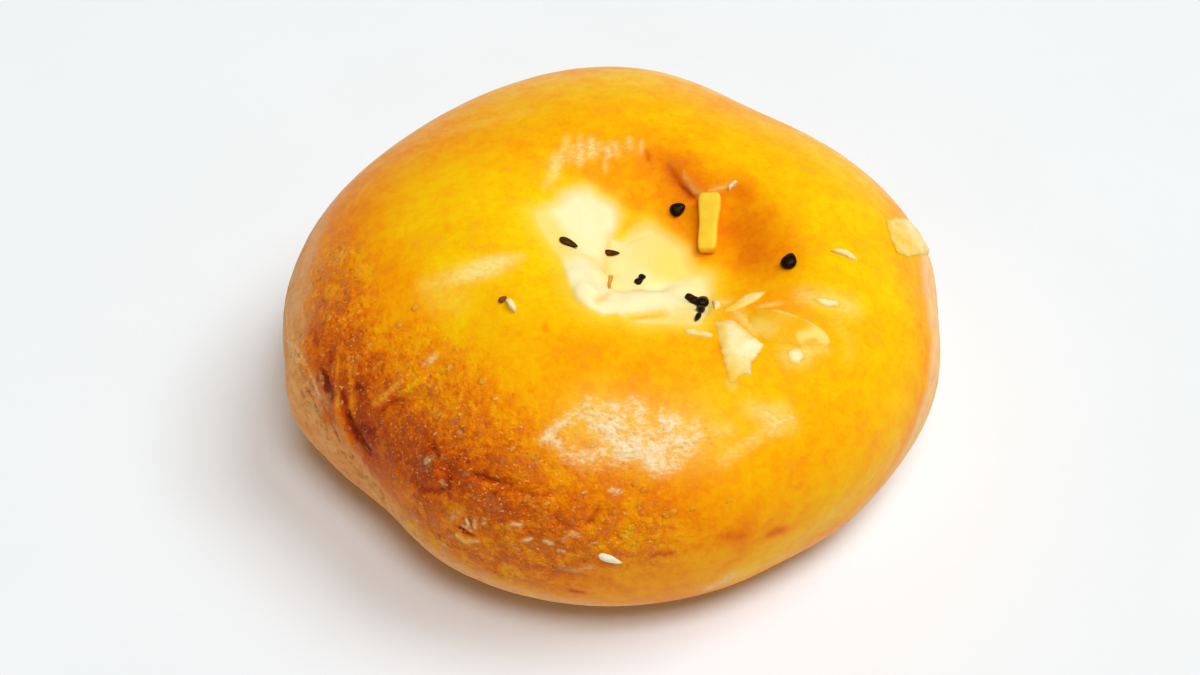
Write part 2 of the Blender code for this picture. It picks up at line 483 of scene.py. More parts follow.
# Narrow marks: dark streaks and crevices, and lighter ridges; the strongest dark ones also take a dark
# red-brown, partly as painted shade in the crevices
BAKE_MARKS = strokes(
    (0.9, (0.4, 0.5, 0.3), (322, 374), (326, 386), (331, 398)),
    (0.45, 0.4, (343, 390), (346, 403)),
    (0.6, (0.4, 0.5, 0.5, 0.35), (347, 414), (350, 427), (357, 438), (370, 453)),
    (0.5, 0.22, (331, 352), (329, 372)),
    (0.35, -0.2, (338, 356), (337, 376)),
    (1.4, (0.25, 0.2), (364, 430), (376, 438)),
    (0.6, 0.4, (356, 385), (361, 389)),
    (0.5, 0.5, (300, 368), (306, 380)),
    (0.4, 0.45, (301, 390), (304, 397)),
    (0.6, (0.45, 0.5, 0.35), (308, 402), (314, 410), (321, 420)),
    (0.7, 0.22, (433, 445), (438, 455)),
    (0.6, (0.15, 0.2, 0.2), (447, 468), (450, 478), (446, 486)),
    (0.5, (0.15, 0.24, 0.24, 0.15), (414, 483), (424, 490), (436, 493), (452, 488)),
    (0.4, (0.3, 0.4, 0.25), (476, 475), (490, 480), (508, 484)),
    (0.35, (0.1, 0.18, 0.18, 0.2, 0.12), (486, 499), (500, 490), (518, 491), (535, 497), (552, 494)),
    (0.4, 0.18, (597, 511), (592, 518), (589, 523)),
    (0.4, (0.1, 0.15, 0.12), (557, 522), (572, 527), (591, 524)),
    (0.4, 0.45, (460, 529), (466, 534), (474, 536)),
    (0.5, 0.3, (466, 519), (474, 525)),
    (1.0, 0.12, (722, 536), (745, 536)),
    (0.6, 0.24, (656, 554), (672, 553)),
    (0.9, 0.12, (686, 549), (700, 546)),
    (0.7, 0.3, (572, 591), (582, 592)),
    (1.0, (0.06, 0.08, 0.08, 0.16), (655, 150), (664, 164), (676, 180), (690, 194)),
    (1.2, 0.14, (732, 187), (740, 190), (748, 198)),
    (0.4, 0.14, (720, 345), (723, 360), (728, 376)),
    (0.4, 0.16, (729, 313), (733, 315)),
    (1.1, 0.28, (771, 534), (781, 531)),
    (0.5, 0.22, (646, 151), (649, 159)),
    (0.35, (0.1, 0.16, 0.22, 0.2), (668, 164), (678, 180), (688, 192), (698, 203)),
    (0.5, -0.3, (336, 384), (339, 404)),
    (0.6, -0.25, (351, 374), (353, 394), (351, 412)),
    (1.0, (-0.3, -0.35, -0.25), (337, 404), (342, 425), (352, 448)),
    (0.45, (-0.22, -0.3, -0.28), (378, 405), (389, 394), (402, 382)),
    (0.45, (-0.2, -0.25, -0.15), (403, 396), (412, 388), (424, 380)),
    (0.4, 0.2, (382, 410), (392, 402), (404, 398)),
    (0.8, 0.15, (318, 350), (312, 330)),
    (0.5, 0.18, (545, 326), (546, 330)),
    (0.7, -0.14, (630, 316), (648, 314), (664, 312)),
    (0.6, 0.1, (446, 224), (448, 230)),
    (2.2, (0.06, 0.1, 0.09, 0.05), (450, 545), (500, 560), (560, 572), (600, 566)),
    (2.2, (0.06, 0.08, 0.06), (500, 505), (530, 520), (560, 545)),
)
# Darker streaks along the bare side
SCORCH_MARKS = strokes(
    (0.55, (0.26, 0.38, 0.3), (300, 350), (306, 368), (313, 386)),
    (0.4, 0.25, (295, 370), (299, 388)),
    (0.5, 0.35, (309, 392), (317, 408), (328, 428)),
    (0.45, 0.28, (320, 398), (330, 420), (340, 442)),
    (0.5, 0.22, (331, 434), (342, 452), (356, 470)),
)
# Where the dimple's walls turn away from the light
WALL_SHADE = strokes(
    (3.0, (0.05, 0.1, 0.13, 0.08), (655, 158), (672, 172), (690, 200), (698, 232)),
    (3.8, (0.06, 0.1, 0.09, 0.03), (735, 205), (750, 235), (762, 262), (772, 285)),
)
# Soft pale sheen: lit wrinkles of the far wall, streaks and rims of light
SHEEN_MARKS = strokes(
    (0.8, 0.4, (557, 156), (554, 176)),
    (0.45, 0.25, (562, 150), (560, 166)),
    (0.6, 0.4, (567, 138), (565, 147)),
    (0.45, 0.25, (572, 147), (570, 160)),
    (0.5, 0.45, (580, 138), (580, 148)),
    (0.6, 0.7, (581, 153), (580, 163)),
    (0.6, 0.7, (591, 140), (592, 155)),
    (0.4, 0.3, (599, 143), (600, 150)),
    (0.4, 0.35, (605, 160), (606, 170)),
    (0.5, 0.4, (609, 147), (608, 156)),
    (0.5, 0.45, (615, 144), (617, 154)),
    (0.45, 0.4, (629, 138), (631, 146)),
    (0.4, 0.45, (642, 141), (641, 152)),
    (0.7, 0.35, (556, 166), (551, 176), (547, 186)),
    (0.3, (0.3, 0.5, 0.6, 0.45), (683, 173), (688, 183), (696, 191), (704, 196)),
    (0.4, 0.4, (712, 190), (724, 187), (731, 184)),
    (1.15, (0.08, 0.2, 0.75, 0.72, 0.22), (424, 285), (447, 281), (470, 275), (495, 268), (512, 262)),
    (0.9, (0.25, 0.6, 0.65, 0.25), (460, 270), (480, 263), (500, 259), (520, 257)),
    (1.6, 0.15, (448, 277), (492, 268)),
    (1.3, 0.12, (453, 131), (485, 122), (525, 112)),
    (2.2, 0.1, (430, 290), (440, 300), (455, 300)),
    (1.7, 0.4, (806, 296), (828, 300), (850, 307)),
    (1.5, 0.5, (790, 356), (802, 356)),
    (0.9, 0.35, (806, 349), (824, 349)),
    (1.1, 0.08, (848, 356), (850, 340), (836, 322)),
    (1.0, 0.45, (710, 302), (724, 302)),
    (0.5, 0.5, (762, 306), (778, 303)),
    (0.9, (0.45, 0.6, 0.5), (736, 312), (745, 320), (754, 331)),
    (1.0, 0.18, (852, 496), (826, 519), (800, 540)),
    (4.6, 0.3, (600, 425), (640, 434), (690, 435)),
    (0.6, (0.06, 0.1, 0.1), (378, 405), (389, 394), (402, 382)),
    (0.6, 0.3, (428, 362), (434, 357)),
    (0.9, (0.24, 0.36, 0.2, 0.28, 0.24), (722, 460), (733, 453), (748, 444), (762, 434), (778, 430)),
    (1.5, (0.26, 0.42, 0.42, 0.34), (750, 409), (762, 414), (773, 420), (788, 423)),
    (0.9, 0.3, (766, 411), (784, 407)),
    (1.0, 0.25, (717, 430), (730, 430)),
    (0.6, 0.35, (729, 383), (734, 386)),
)
# Pale, rough film on the wash: mostly painted highlights, on the lit patch of the front slope, the far wall
# and the blistered skin, and pale streaks along the left rim
FILM_AND_HIGHLIGHT_MARKS = strokes(
    (1.3, (0.22, 0.3, 0.26, 0.15), (556, 160), (580, 152), (605, 150), (632, 147)),
    (0.9, (0.5, 0.65, 0.8, 0.6), (547, 437), (560, 425), (575, 414), (590, 404)),
    (0.9, 0.5, (545, 440), (556, 445)),
    (1.4, 0.55, (568, 450), (585, 459)),
    (1.5, (0.35, 0.45, 0.4), (592, 408), (620, 407), (648, 406)),
    (1.5, (0.4, 0.45, 0.4), (598, 416), (625, 418), (645, 421)),
    (1.8, (0.75, 0.95, 0.65), (597, 426), (612, 429), (626, 435)),
    (1.1, 0.55, (660, 418), (672, 424)),
    (1.8, (0.85, 1.0, 0.55), (668, 429), (680, 436), (689, 437)),
    (0.8, 0.3, (695, 422), (699, 428)),
    (1.5, (0.5, 0.75, 0.5, 0.6, 0.15), (600, 455), (625, 452), (650, 450), (675, 451), (690, 450)),
    (1.7, 0.6, (628, 439), (656, 437)),
    (1.3, 0.75, (650, 464), (662, 467), (673, 462)),
    (0.7, -0.6, (653, 400), (654, 424)),
    (0.8, -0.4, (583, 430), (588, 442)),
    (1.1, (0.06, 0.16, 0.16, 0.08), (722, 464), (742, 448), (760, 434), (785, 424)),
    (1.0, 0.16, (752, 409), (764, 414), (774, 420)),
    (0.9, 0.3, (785, 422), (790, 421)),
    (0.45, 0.65, (286, 300), (288, 335), (294, 365)),
    (0.4, (0.5, 0.65, 0.65), (290, 338), (297, 358), (308, 384)),
    (0.4, (0.5, 0.7, 0.5), (307, 401), (317, 414), (331, 435)),
    (0.3, (0.5, 0.7, 0.5), (298, 348), (310, 372), (320, 398)),
    (0.9, 0.1, (313, 268), (330, 262), (345, 250)),
    (0.5, 0.5, (428, 362), (434, 357)),
    (0.32, 1.0, (458, 534), (465, 540), (477, 540)),
    (0.28, 0.9, (463, 527), (471, 531)),
    (0.28, 1.0, (466, 519), (468, 525)),
    (0.28, 1.0, (475, 521), (475, 527)),
    (0.28, 0.8, (486, 518), (484, 524)),
    (0.5, 0.5, (451, 519), (460, 511)),
    (0.3, 0.75, (508, 527), (514, 523), (522, 526)),
    (0.3, 0.9, (524, 540), (531, 538)),
    (0.35, 0.9, (545, 541), (552, 543)),
    (0.3, 0.8, (512, 546), (518, 549)),
    (0.3, 0.7, (559, 550), (564, 552)),
    (0.3, 0.7, (442, 544), (446, 546)),
    (0.3, 0.8, (413, 519), (417, 521)),
    (0.4, 0.45, (563, 539), (572, 534), (579, 535)),
    (0.6, 0.35, (562, 566), (576, 571), (591, 566)),
    (0.3, 0.45, (443, 481), (445, 488)),
    (0.4, 0.35, (428, 460), (436, 458)),
    (0.35, 0.6, (611, 490), (618, 492)),
    (1.3, 0.7, (711, 587), (722, 582), (731, 576)),
)
# Blistered and pitted skin
BLISTER_MARKS = strokes(
    (4.5, (0.35, 0.6, 0.7, 0.75, 0.75, 0.6, 0.4),
     (292, 350), (305, 400), (330, 440), (370, 485), (420, 535), (480, 568), (560, 590)),
    (8.0, (0.7, 0.75, 0.8, 0.9, 0.9, 0.8),
     (330, 270), (335, 320), (345, 370), (380, 420), (430, 470), (490, 510)),
    (6.0, (0.95, 0.9, 0.75, 0.5), (450, 530), (520, 545), (580, 550), (640, 555)),
    (7.5, (0.4, 0.5, 0.42, 0.24), (420, 350), (480, 420), (560, 470), (640, 492)),
    (6.0, (0.28, 0.1), (640, 530), (730, 532)),
)
# Small raised flecks, with painted glints on their tips
FLECK_MARKS = strokes(
    (3.0, (0.2, 0.3, 0.3, 0.2), (560, 430), (590, 440), (640, 446), (700, 440)),
    (3.0, (0.45, 0.5, 0.4, 0.3), (450, 515), (480, 522), (550, 535), (590, 535)),
    (3.0, 0.25, (460, 545), (520, 560), (600, 570)),
    (4.0, (0.15, 0.22, 0.25, 0.22, 0.15), (430, 400), (470, 430), (520, 465), (600, 490), (660, 490)),
    (3.0, (0.15, 0.2, 0.25), (345, 350), (370, 385), (395, 420)),
    (2.5, (0.2, 0.3, 0.35), (340, 430), (385, 470), (420, 500)),
)
# Larger relief in millimetres: ridges above the skin and furrows into it
RELIEF_MARKS = strokes(
    (1.0, (0.35, 0.6, 0.5), (378, 405), (389, 394), (402, 382)),
    (1.0, (0.4, 0.5, 0.3), (405, 393), (414, 387), (423, 381)),
    (0.9, (-0.3, -0.45, -0.4, -0.2), (384, 412), (400, 402), (422, 398), (432, 400)),
    (1.0, (-0.5, -0.8, -0.8, -0.4), (348, 415), (352, 428), (359, 440), (371, 454)),
    (1.4, (0.4, 0.5, 0.3), (336, 400), (341, 425), (352, 447)),
    (0.9, -0.6, (476, 475), (490, 480), (508, 484)),
    (0.8, -0.3, (486, 499), (500, 490), (518, 491), (535, 497), (552, 494)),
    (1.5, 0.3, (490, 508), (515, 500), (548, 503)),
    (0.8, -0.35, (597, 511), (589, 523)),
    (0.8, -0.35, (557, 522), (572, 527), (591, 524)),
    (0.9, (-0.3, -0.4, -0.5, -0.5, -0.3), (447, 468), (450, 478), (446, 487), (436, 493), (416, 485)),
    (2.2, 0.4, (430, 465), (438, 477)),
    (0.6, -0.5, (460, 530), (466, 534), (474, 536)),
    (0.6, 0.4, (458, 534), (465, 540), (477, 540)),
    (1.2, -0.45, (322, 372), (331, 398)),
    (0.7, 0.35, (290, 338), (308, 384), (331, 435)),
    (0.7, -0.35, (298, 366), (306, 382), (320, 420)),
    (1.0, (-0.2, -0.4, -0.5, -0.4), (664, 160), (674, 178), (686, 192), (697, 200)),
    (0.55, (0.15, 0.35, 0.4, 0.3), (682, 172), (688, 183), (696, 191), (704, 197)),
    (1.2, 0.15, (690, 174), (708, 170), (722, 178)),
    (0.6, -0.5, (594, 304), (601, 301), (607, 297)),
    (0.7, -0.6, (632, 316), (648, 314), (664, 312)),
    (0.9, -0.5, (614, 237), (622, 243), (628, 239)),
    (3.2, (0.7, 0.9, 0.7), (578, 207), (590, 217), (598, 232)),
    (3.0, (0.6, 0.7, 0.5), (640, 242), (656, 258), (672, 275)),
    (2.2, (0.7, 0.8, 0.6), (580, 275), (586, 290), (596, 303)),
    (1.7, (0.5, 0.9, 0.6), (622, 303), (655, 301), (692, 290)),
    (0.9, (-0.5, -0.6, -0.5), (612, 240), (609, 256), (609, 275)),
    (1.1, (-0.4, -0.5, -0.3), (618, 286), (645, 288), (675, 280)),
)


class Graph:
    """A node tree while it is put together."""

    def __init__(self, tree: Tree) -> None:
        """Keep the tree."""
        self.tree = tree

    def offer(self, kind: str, usual: dict[str, float]) -> None:
        """Give the tree inputs of one kind, by their names and usual values."""
        for label, value in usual.items():
            self.tree.interface.new_socket(label, in_out="INPUT", socket_type=kind).default_value = value

    def feed(self, socket: Socket, value: Input) -> None:
        """Link a socket to another one, or give it a value.

        Args:
            socket: Input to fill.
            value: Value or output for it.
        """
        if isinstance(value, Socket):
            self.tree.links.new(value, socket)
        else:
            socket.default_value = value

    def fill(self, node: bpy.types.Node, inputs: dict[str | int, Input]) -> None:
        """Link or set a node's inputs by their names or numbers."""
        for name, value in inputs.items():
            self.feed(node.inputs[name], value)

    def node(self, kind: str, inputs: dict[str | int, Input] | None = None,
             **settings: str | bool | Tree) -> bpy.types.Node:
        """Add a node.

        Args:
            kind: Type of the node.
            inputs: Values or sockets by the input's name or number.
            settings: The node's own settings.

        Returns:
            The new node.
        """
        node = self.tree.nodes.new(kind)
        for name, value in settings.items():
            setattr(node, name, value)
        self.fill(node, inputs or {})
        return node

    def math(self, operation: str, first: Input, second: Input, clamp: bool = False) -> Socket:
        """Work out one number from two."""
        settings = {"operation": operation, "use_clamp": clamp}
        return self.node("ShaderNodeMath", {0: first, 1: second}, **settings).outputs[0]

    def add(self, first: Input, second: Input, clamp: bool = False) -> Socket:
        """Add two numbers."""
        return self.math("ADD", first, second, clamp)

    def minus(self, first: Input, second: Input) -> Socket:
        """Take the second number from the first."""
        return self.math("SUBTRACT", first, second)

    def times(self, first: Input, second: Input) -> Socket:
        """Multiply two numbers."""
        return self.math("MULTIPLY", first, second)

    def over(self, first: Input, second: Input) -> Socket:
        """Divide the first number by the second."""
        return self.math("DIVIDE", first, second)

    def most(self, first: Input, second: Input) -> Socket:
        """Take the larger of two numbers."""
        return self.math("MAXIMUM", first, second)

    def span(self, value: Input, low: Input, high: Input,
             to_low: Input = 0.0, to_high: Input = 1.0) -> Socket:
        """Ease a value from one range to another.

        Args:
            value: Value to change.
            low: Start of its range.
            high: End of its range.
            to_low: Result at the start.
            to_high: Result at the end.

        Returns:
            The eased value.
        """
        inputs = {"Value": value, "From Min": low, "From Max": high, "To Min": to_low, "To Max": to_high}
        return self.node("ShaderNodeMapRange", inputs, interpolation_type="SMOOTHSTEP").outputs[0]


class ShaderGraph(Graph):
    """A shader tree while it is put together."""

    def mix(self, share: Input, first: Input, second: Input) -> Socket:
        """Blend two colours.

        Args:
            share: How much of the second colour shows.
            first: Colour at share 0.
            second: Colour at share 1.

        Returns:
            The blended colour.
        """
        node = self.node("ShaderNodeMix", data_type="RGBA")
        for name, value in (("Factor", share), ("A", first), ("B", second)):
            kind = "VALUE" if name == "Factor" else "RGBA"
            found = next(socket for socket in node.inputs if socket.name == name and socket.type == kind)
            self.feed(found, rgba(value) if isinstance(value, tuple) else value)
        return next(socket for socket in node.outputs if socket.type == "RGBA")

    def attribute(self, name: str) -> Socket:
        """Read a number that the mesh carries at each point."""
        return self.node("ShaderNodeAttribute", attribute_name=name).outputs["Fac"]

    def ramp(self, value: Input, stops: tuple[tuple[float, Color], ...]) -> Socket:
        """Turn a value into a colour along a row of colours.

        Args:
            value: Place along the row, from 0 to 1.
            stops: Places and their colours.

        Returns:
            The colour.
        """
        node = self.node("ShaderNodeValToRGB", {0: value})
        elements = node.color_ramp.elements
        while len(elements) < len(stops):
            elements.new(0.5)
        for element, (place, color) in zip(elements, stops):
            element.position = place
            element.color = rgba(color)
        return node.outputs[0]

    def group(self, group: Tree, **inputs: Input) -> Socket:
        """Place a group with its own values.

        Args:
            group: Group to place.
            inputs: Values or sockets, with underscores for the spaces in their names.

        Returns:
            The group's first output.
        """
        node = self.node("ShaderNodeGroup", node_tree=group)
        self.fill(node, {name.replace("_", " ").capitalize(): value for name, value in inputs.items()})
        return node.outputs[0]

    def bump(self, height: Input, strength: float, distance: float) -> Socket:
        """Tilt the surface by a height, which the distance in millimetres scales."""
        inputs = {"Height": height, "Strength": strength, "Distance": distance * MM}
        return self.node("ShaderNodeBump", inputs).outputs[0]


class SurfaceGroups:
    """Shader groups that several finishes share."""

    def __init__(self) -> None:
        """Build every group once."""
        self.mottle = self.build_mottle()
        self.grain = self.build_grain()

    def start(self, name: str, inputs: dict[str, float], output: str) -> tuple[ShaderGraph, dict, Socket]:
        """Start a group whose inputs are all numbers.

        Args:
            name: Name of the group.
            inputs: Names and usual values of its inputs, with the size in millimetres.
            output: Name of its output.

        Returns:
            The graph, its inputs and the object's place and scale by name, and the socket to end at.
        """
        graph = ShaderGraph(bpy.data.node_groups.new(name, "ShaderNodeTree"))
        graph.offer("NodeSocketFloat", inputs)
        graph.tree.interface.new_socket(output, in_out="OUTPUT", socket_type="NodeSocketFloat")
        source = graph.node("NodeGroupInput")
        given = {label: source.outputs[label] for label in inputs}
        given["Place"] = graph.node("ShaderNodeTexCoord").outputs["Object"]
        given["Scale"] = graph.over(1.0 / MM, given["Size"])
        return graph, given, graph.node("NodeGroupOutput").inputs[0]

    def build_mottle(self) -> Tree:
        """Build soft clouds.

        Returns:
            The group.
        """
        numbers = {"Size": 5.0, "Detail": 3.0, "Stretch": 1.0, "Low": 0.35, "High": 0.65}
        graph, given, end = self.start("mottle", numbers, "Mask")
        across = graph.over(1.0, given["Stretch"])
        share = graph.node("ShaderNodeCombineXYZ", {"X": across, "Y": 1.0, "Z": 1.0}).outputs[0]
        drawn = graph.node("ShaderNodeVectorMath", {0: given["Place"], 1: share}, operation="MULTIPLY")
        noise = graph.node("ShaderNodeTexNoise", {
            "Vector": drawn.outputs[0], "Scale": given["Scale"], "Detail": given["Detail"], "Roughness": 0.6})
        graph.feed(end, graph.span(noise.outputs[0], given["Low"], given["High"]))
        return graph.tree

    def build_grain(self) -> Tree:
        """Build a fine uneven height with pores.

        Returns:
            The group.
        """
        graph, given, end = self.start("grain", {"Size": 0.6, "Pores": 0.4}, "Height")
        place, scale = given["Place"], given["Scale"]
        noise = graph.node("ShaderNodeTexNoise", {
            "Vector": place, "Scale": scale, "Detail": 4.0, "Roughness": 0.65})
        cells = graph.node("ShaderNodeTexVoronoi", {"Vector": place, "Scale": graph.times(scale, 0.6)})
        pores = graph.times(graph.span(cells.outputs["Distance"], 0.0, 0.35, 1.0, 0.0), given["Pores"])
        graph.feed(end, graph.minus(noise.outputs[0], pores))
        return graph.tree


def dress(name: str) -> tuple[Material, ShaderGraph, bpy.types.Node]:
    """Start a material.

    Args:
        name: Name of the material.

    Returns:
        The material, its graph and its surface shader.
    """
    material = bpy.data.materials.new(name)
    material.use_nodes = True
    graph = ShaderGraph(material.node_tree)
    return material, graph, material.node_tree.nodes["Principled BSDF"]


@dataclass(frozen=True)
class CrustFinish:
    """Baked dough: egg wash from golden to brown, bare tan sides and cream folds, with painted highlights,
    glints and shade over them.
    """

    bake_ramp: tuple[tuple[float, Color], ...] = (
        (0.00, (0.99, 0.62, 0.003)), (0.15, (0.99, 0.48, 0.002)), (0.30, (0.98, 0.34, 0.002)),
        (0.45, (0.88, 0.216, 0.002)), (0.60, (0.69, 0.122, 0.003)), (0.75, (0.55, 0.069, 0.003)),
        (0.90, (0.38, 0.035, 0.003)), (1.00, (0.23, 0.020, 0.004)))
    bare_ramp: tuple[tuple[float, Color], ...] = (
        (0.00, (1.00, 0.62, 0.25)), (0.33, (0.95, 0.47, 0.205)), (0.44, (0.95, 0.42, 0.13)),
        (0.55, (0.92, 0.375, 0.105)), (0.75, (0.76, 0.29, 0.09)), (1.00, (0.46, 0.155, 0.055)))
    pale: Color = srgb(252, 217, 106)
    pale_white: Color = srgb(253, 236, 184)
    halo: Color = srgb(255, 214, 60)
    # Colours of painted highlights and glints
    sheen: Color = srgb(255, 226, 136)
    film: Color = srgb(255, 198, 104)
    film_white: Color = srgb(255, 240, 208)
    blister_tip: Color = srgb(250, 158, 48)
    speck: Color = srgb(255, 192, 104)
    # Dark red-brown of baked streaks, also painted shade in small hollows, creases and the dimple's walls
    crease: Color = srgb(104, 36, 16)
    patch_swing: tuple[float, float] = (0.08, 0.24)
    dot_share: float = 0.55
    dot_middle: float = 0.45
    fine_swing: float = 0.9
    cloud_swing: float = 0.08
    toast_patches: float = 0.26
    fine_freckles: float = 2.0
    even_freckles: float = 0.06
    edge_uneven: float = 0.16
    edge_ragged: float = 1.6
    edge_blend: tuple[float, float] = (0.15, 0.85)
    sheen_swing: tuple[float, float] = (0.55, 1.25)
    haze_swing: tuple[float, float] = (0.45, 1.1)
    film_patches: tuple[float, ...] = (0.1, 0.9, 0.40, 1.0)
    film_start: tuple[float, float] = (0.02, 0.12)
    film_middle: float = 0.72
    film_broken: float = 0.95
    film_cover: float = 0.80
    film_skin: float = 0.5
    film_rise: float = 0.06
    salt_patches: tuple[float, ...] = (0.2, 0.9, 0.25, 1.0)
    salt_start: tuple[float, float] = (0.25, 0.9)
    salt_cover: float = 0.55
    salt_rise: float = 0.6
    rough_start: tuple[float, float] = (0.15, 0.8)
    glints_bare: tuple[float, ...] = (0.0, 0.6, 0.6, 0.9)
    pits_bare: tuple[float, ...] = (0.3, 1.0, 0.2, 0.05)
    bare_skin: float = 0.6
    bare_grain: float = 0.30
    glaze_roughness: float = 0.30
    patch_roughness: float = 0.12
    bare_roughness: float = 0.72
    coat: float = 0.04
    coat_start: tuple[float, float] = (0.1, 0.8)
    coat_roughness: float = 0.12
    grain_rise: tuple[float, ...] = (0.0, 0.8, 0.10, 1.0)
    bump_strength: float = 0.9
    bump_distance: float = 0.55
    specular: float = 0.08
    specular_tint: Color = (1.0, 0.60, 0.04)
    soft_light: float = 0.18
    soft_reach: Color = (2.2, 1.1, 0.5)

    def build(self, groups: SurfaceGroups) -> Material:
        """Put the material together.

        Args:
            groups: Shader groups that it uses.

        Returns:
            The material.
        """
        material, graph, shader = dress("baked_crust")
        blister, bare, cover, pale = map(graph.attribute, ("blister", "bare", "film", "pale"))
        clouds = graph.group(groups.mottle, size=13.0, detail=3.0, low=0.3, high=0.7)
        patches = graph.group(groups.mottle, size=3.4, detail=4.0, low=0.34, high=0.66)
        spots = graph.group(groups.mottle, size=1.3, detail=4.0, low=0.38, high=0.72)
        dots = graph.group(groups.mottle, size=0.55, detail=2.0, low=0.42, high=0.72)
        patchy = graph.minus(patches, 0.5)
        strength = graph.span(blister, 0.0, 1.0, *self.patch_swing)
        swing = graph.times(patchy, strength)
        both = graph.minus(graph.add(spots, graph.times(dots, self.dot_share)), self.dot_middle)
        fine = graph.times(both, graph.times(strength, self.fine_swing))
        wide = graph.times(graph.minus(clouds, 0.5), self.cloud_swing)
        bake = graph.add(graph.add(graph.attribute("bake"), swing), graph.add(fine, wide))

        toast = graph.add(graph.times(patches, self.toast_patches), graph.attribute("scorch"))
        freckles = graph.add(graph.times(fine, self.fine_freckles), graph.times(both, self.even_freckles))
        side = graph.ramp(graph.add(toast, freckles), self.bare_ramp)
        uneven = graph.add(wide, graph.times(patchy, self.edge_uneven))
        ragged = graph.times(graph.add(graph.add(swing, fine), uneven), self.edge_ragged)
        edge = graph.span(graph.add(bare, ragged), *self.edge_blend)
        dough = graph.mix(graph.attribute("white"), self.pale, self.pale_white)

        # Painted highlights: a pale sheen, and a rough pale film with white flecks
        flecks = graph.group(groups.mottle, size=0.5, detail=3.0, stretch=1.8, low=0.25, high=0.75)
        sheen = graph.times(graph.attribute("sheen"), graph.span(flecks, 0.0, 1.0, *self.sheen_swing))
        highlight_haze = graph.times(cover, graph.span(patches, 0.0, 1.0, *self.haze_swing))
        patchy_highlight = graph.times(cover, graph.span(patches, *self.film_patches))
        broken = graph.times(graph.minus(flecks, self.film_middle), self.film_broken)
        film = graph.add(patchy_highlight, broken, clamp=True)
        film = graph.times(film, graph.span(cover, *self.film_start))
        # Painted glints on the blisters' tips, which also lift the bump a little
        crowd = graph.span(patches, *self.salt_patches)
        crowd = graph.times(crowd, graph.span(blister, *self.salt_start))
        tip_glints = graph.group(groups.mottle, size=0.65, detail=2.0, stretch=1.4, low=0.58, high=0.72)
        tip_glints = graph.times(tip_glints, graph.times(crowd, self.salt_cover))
        rough_skin = graph.most(blister, graph.times(edge, self.bare_skin))
        rough_skin = graph.span(rough_skin, *self.rough_start)
        # Painted glints on the rough skin
        glints = graph.group(groups.mottle, size=0.50, detail=1.0, stretch=1.5, low=0.62, high=0.74)
        glints = graph.times(glints, graph.times(rough_skin, graph.span(edge, *self.glints_bare)))
        # Painted shade in small hollows of the skin, in the dark red-brown colour
        pits = graph.group(groups.mottle, size=0.8, detail=2.0, stretch=1.8, low=0.44, high=0.30)
        pits = graph.times(pits, graph.times(rough_skin, graph.span(edge, *self.pits_bare)))
        color = graph.ramp(bake, self.bake_ramp)
        # Over the bake colour go the bare side, the yellow halo and the pale folds, then painted highlights
        # and glints, and last painted shade in hollows and creases
        for mask, layer in (
                (edge, side), (graph.attribute("halo"), self.halo), (pale, dough), (sheen, self.sheen),
                (highlight_haze, self.film), (graph.times(film, self.film_cover), self.film_white),
                (tip_glints, self.blister_tip), (glints, self.speck), (pits, self.crease),
                (graph.attribute("crease"), self.crease)):
            color = graph.mix(mask, color, layer)

        rough = graph.add(graph.times(patches, self.patch_roughness), self.glaze_roughness)
        for dry in (edge, pale):
            rough = graph.most(rough, graph.times(dry, self.bare_roughness))
        grain = graph.group(groups.grain, size=0.9, pores=0.5)
        skin = graph.most(blister, graph.times(cover, self.film_skin))
        coarse = graph.most(skin, graph.times(bare, self.bare_grain))
        height = graph.times(grain, graph.span(coarse, *self.grain_rise))
        height = graph.add(height, graph.times(film, self.film_rise))
        height = graph.add(height, graph.times(tip_glints, self.salt_rise))
        tilt = graph.bump(height, self.bump_strength, self.bump_distance)
        wet = graph.times(graph.span(skin, *self.coat_start), self.coat)
        graph.fill(shader, {
            "Base Color": color, "Roughness": rough, "Normal": tilt, "Coat Normal": tilt,
            "Coat Weight": graph.times(wet, graph.minus(1.0, edge)), "Coat Roughness": self.coat_roughness,
            "Specular IOR Level": self.specular, "Specular Tint": rgba(self.specular_tint),
            "Subsurface Weight": self.soft_light, "Subsurface Radius": self.soft_reach,
            "Subsurface Scale": MM})
        return material


class AlmondTone(Enum):
    """How much amber wash an almond piece has taken up."""

    CREAM = "cream"
    AMBER = "amber"
    YELLOW = "yellow"
    TOASTED = "toasted"


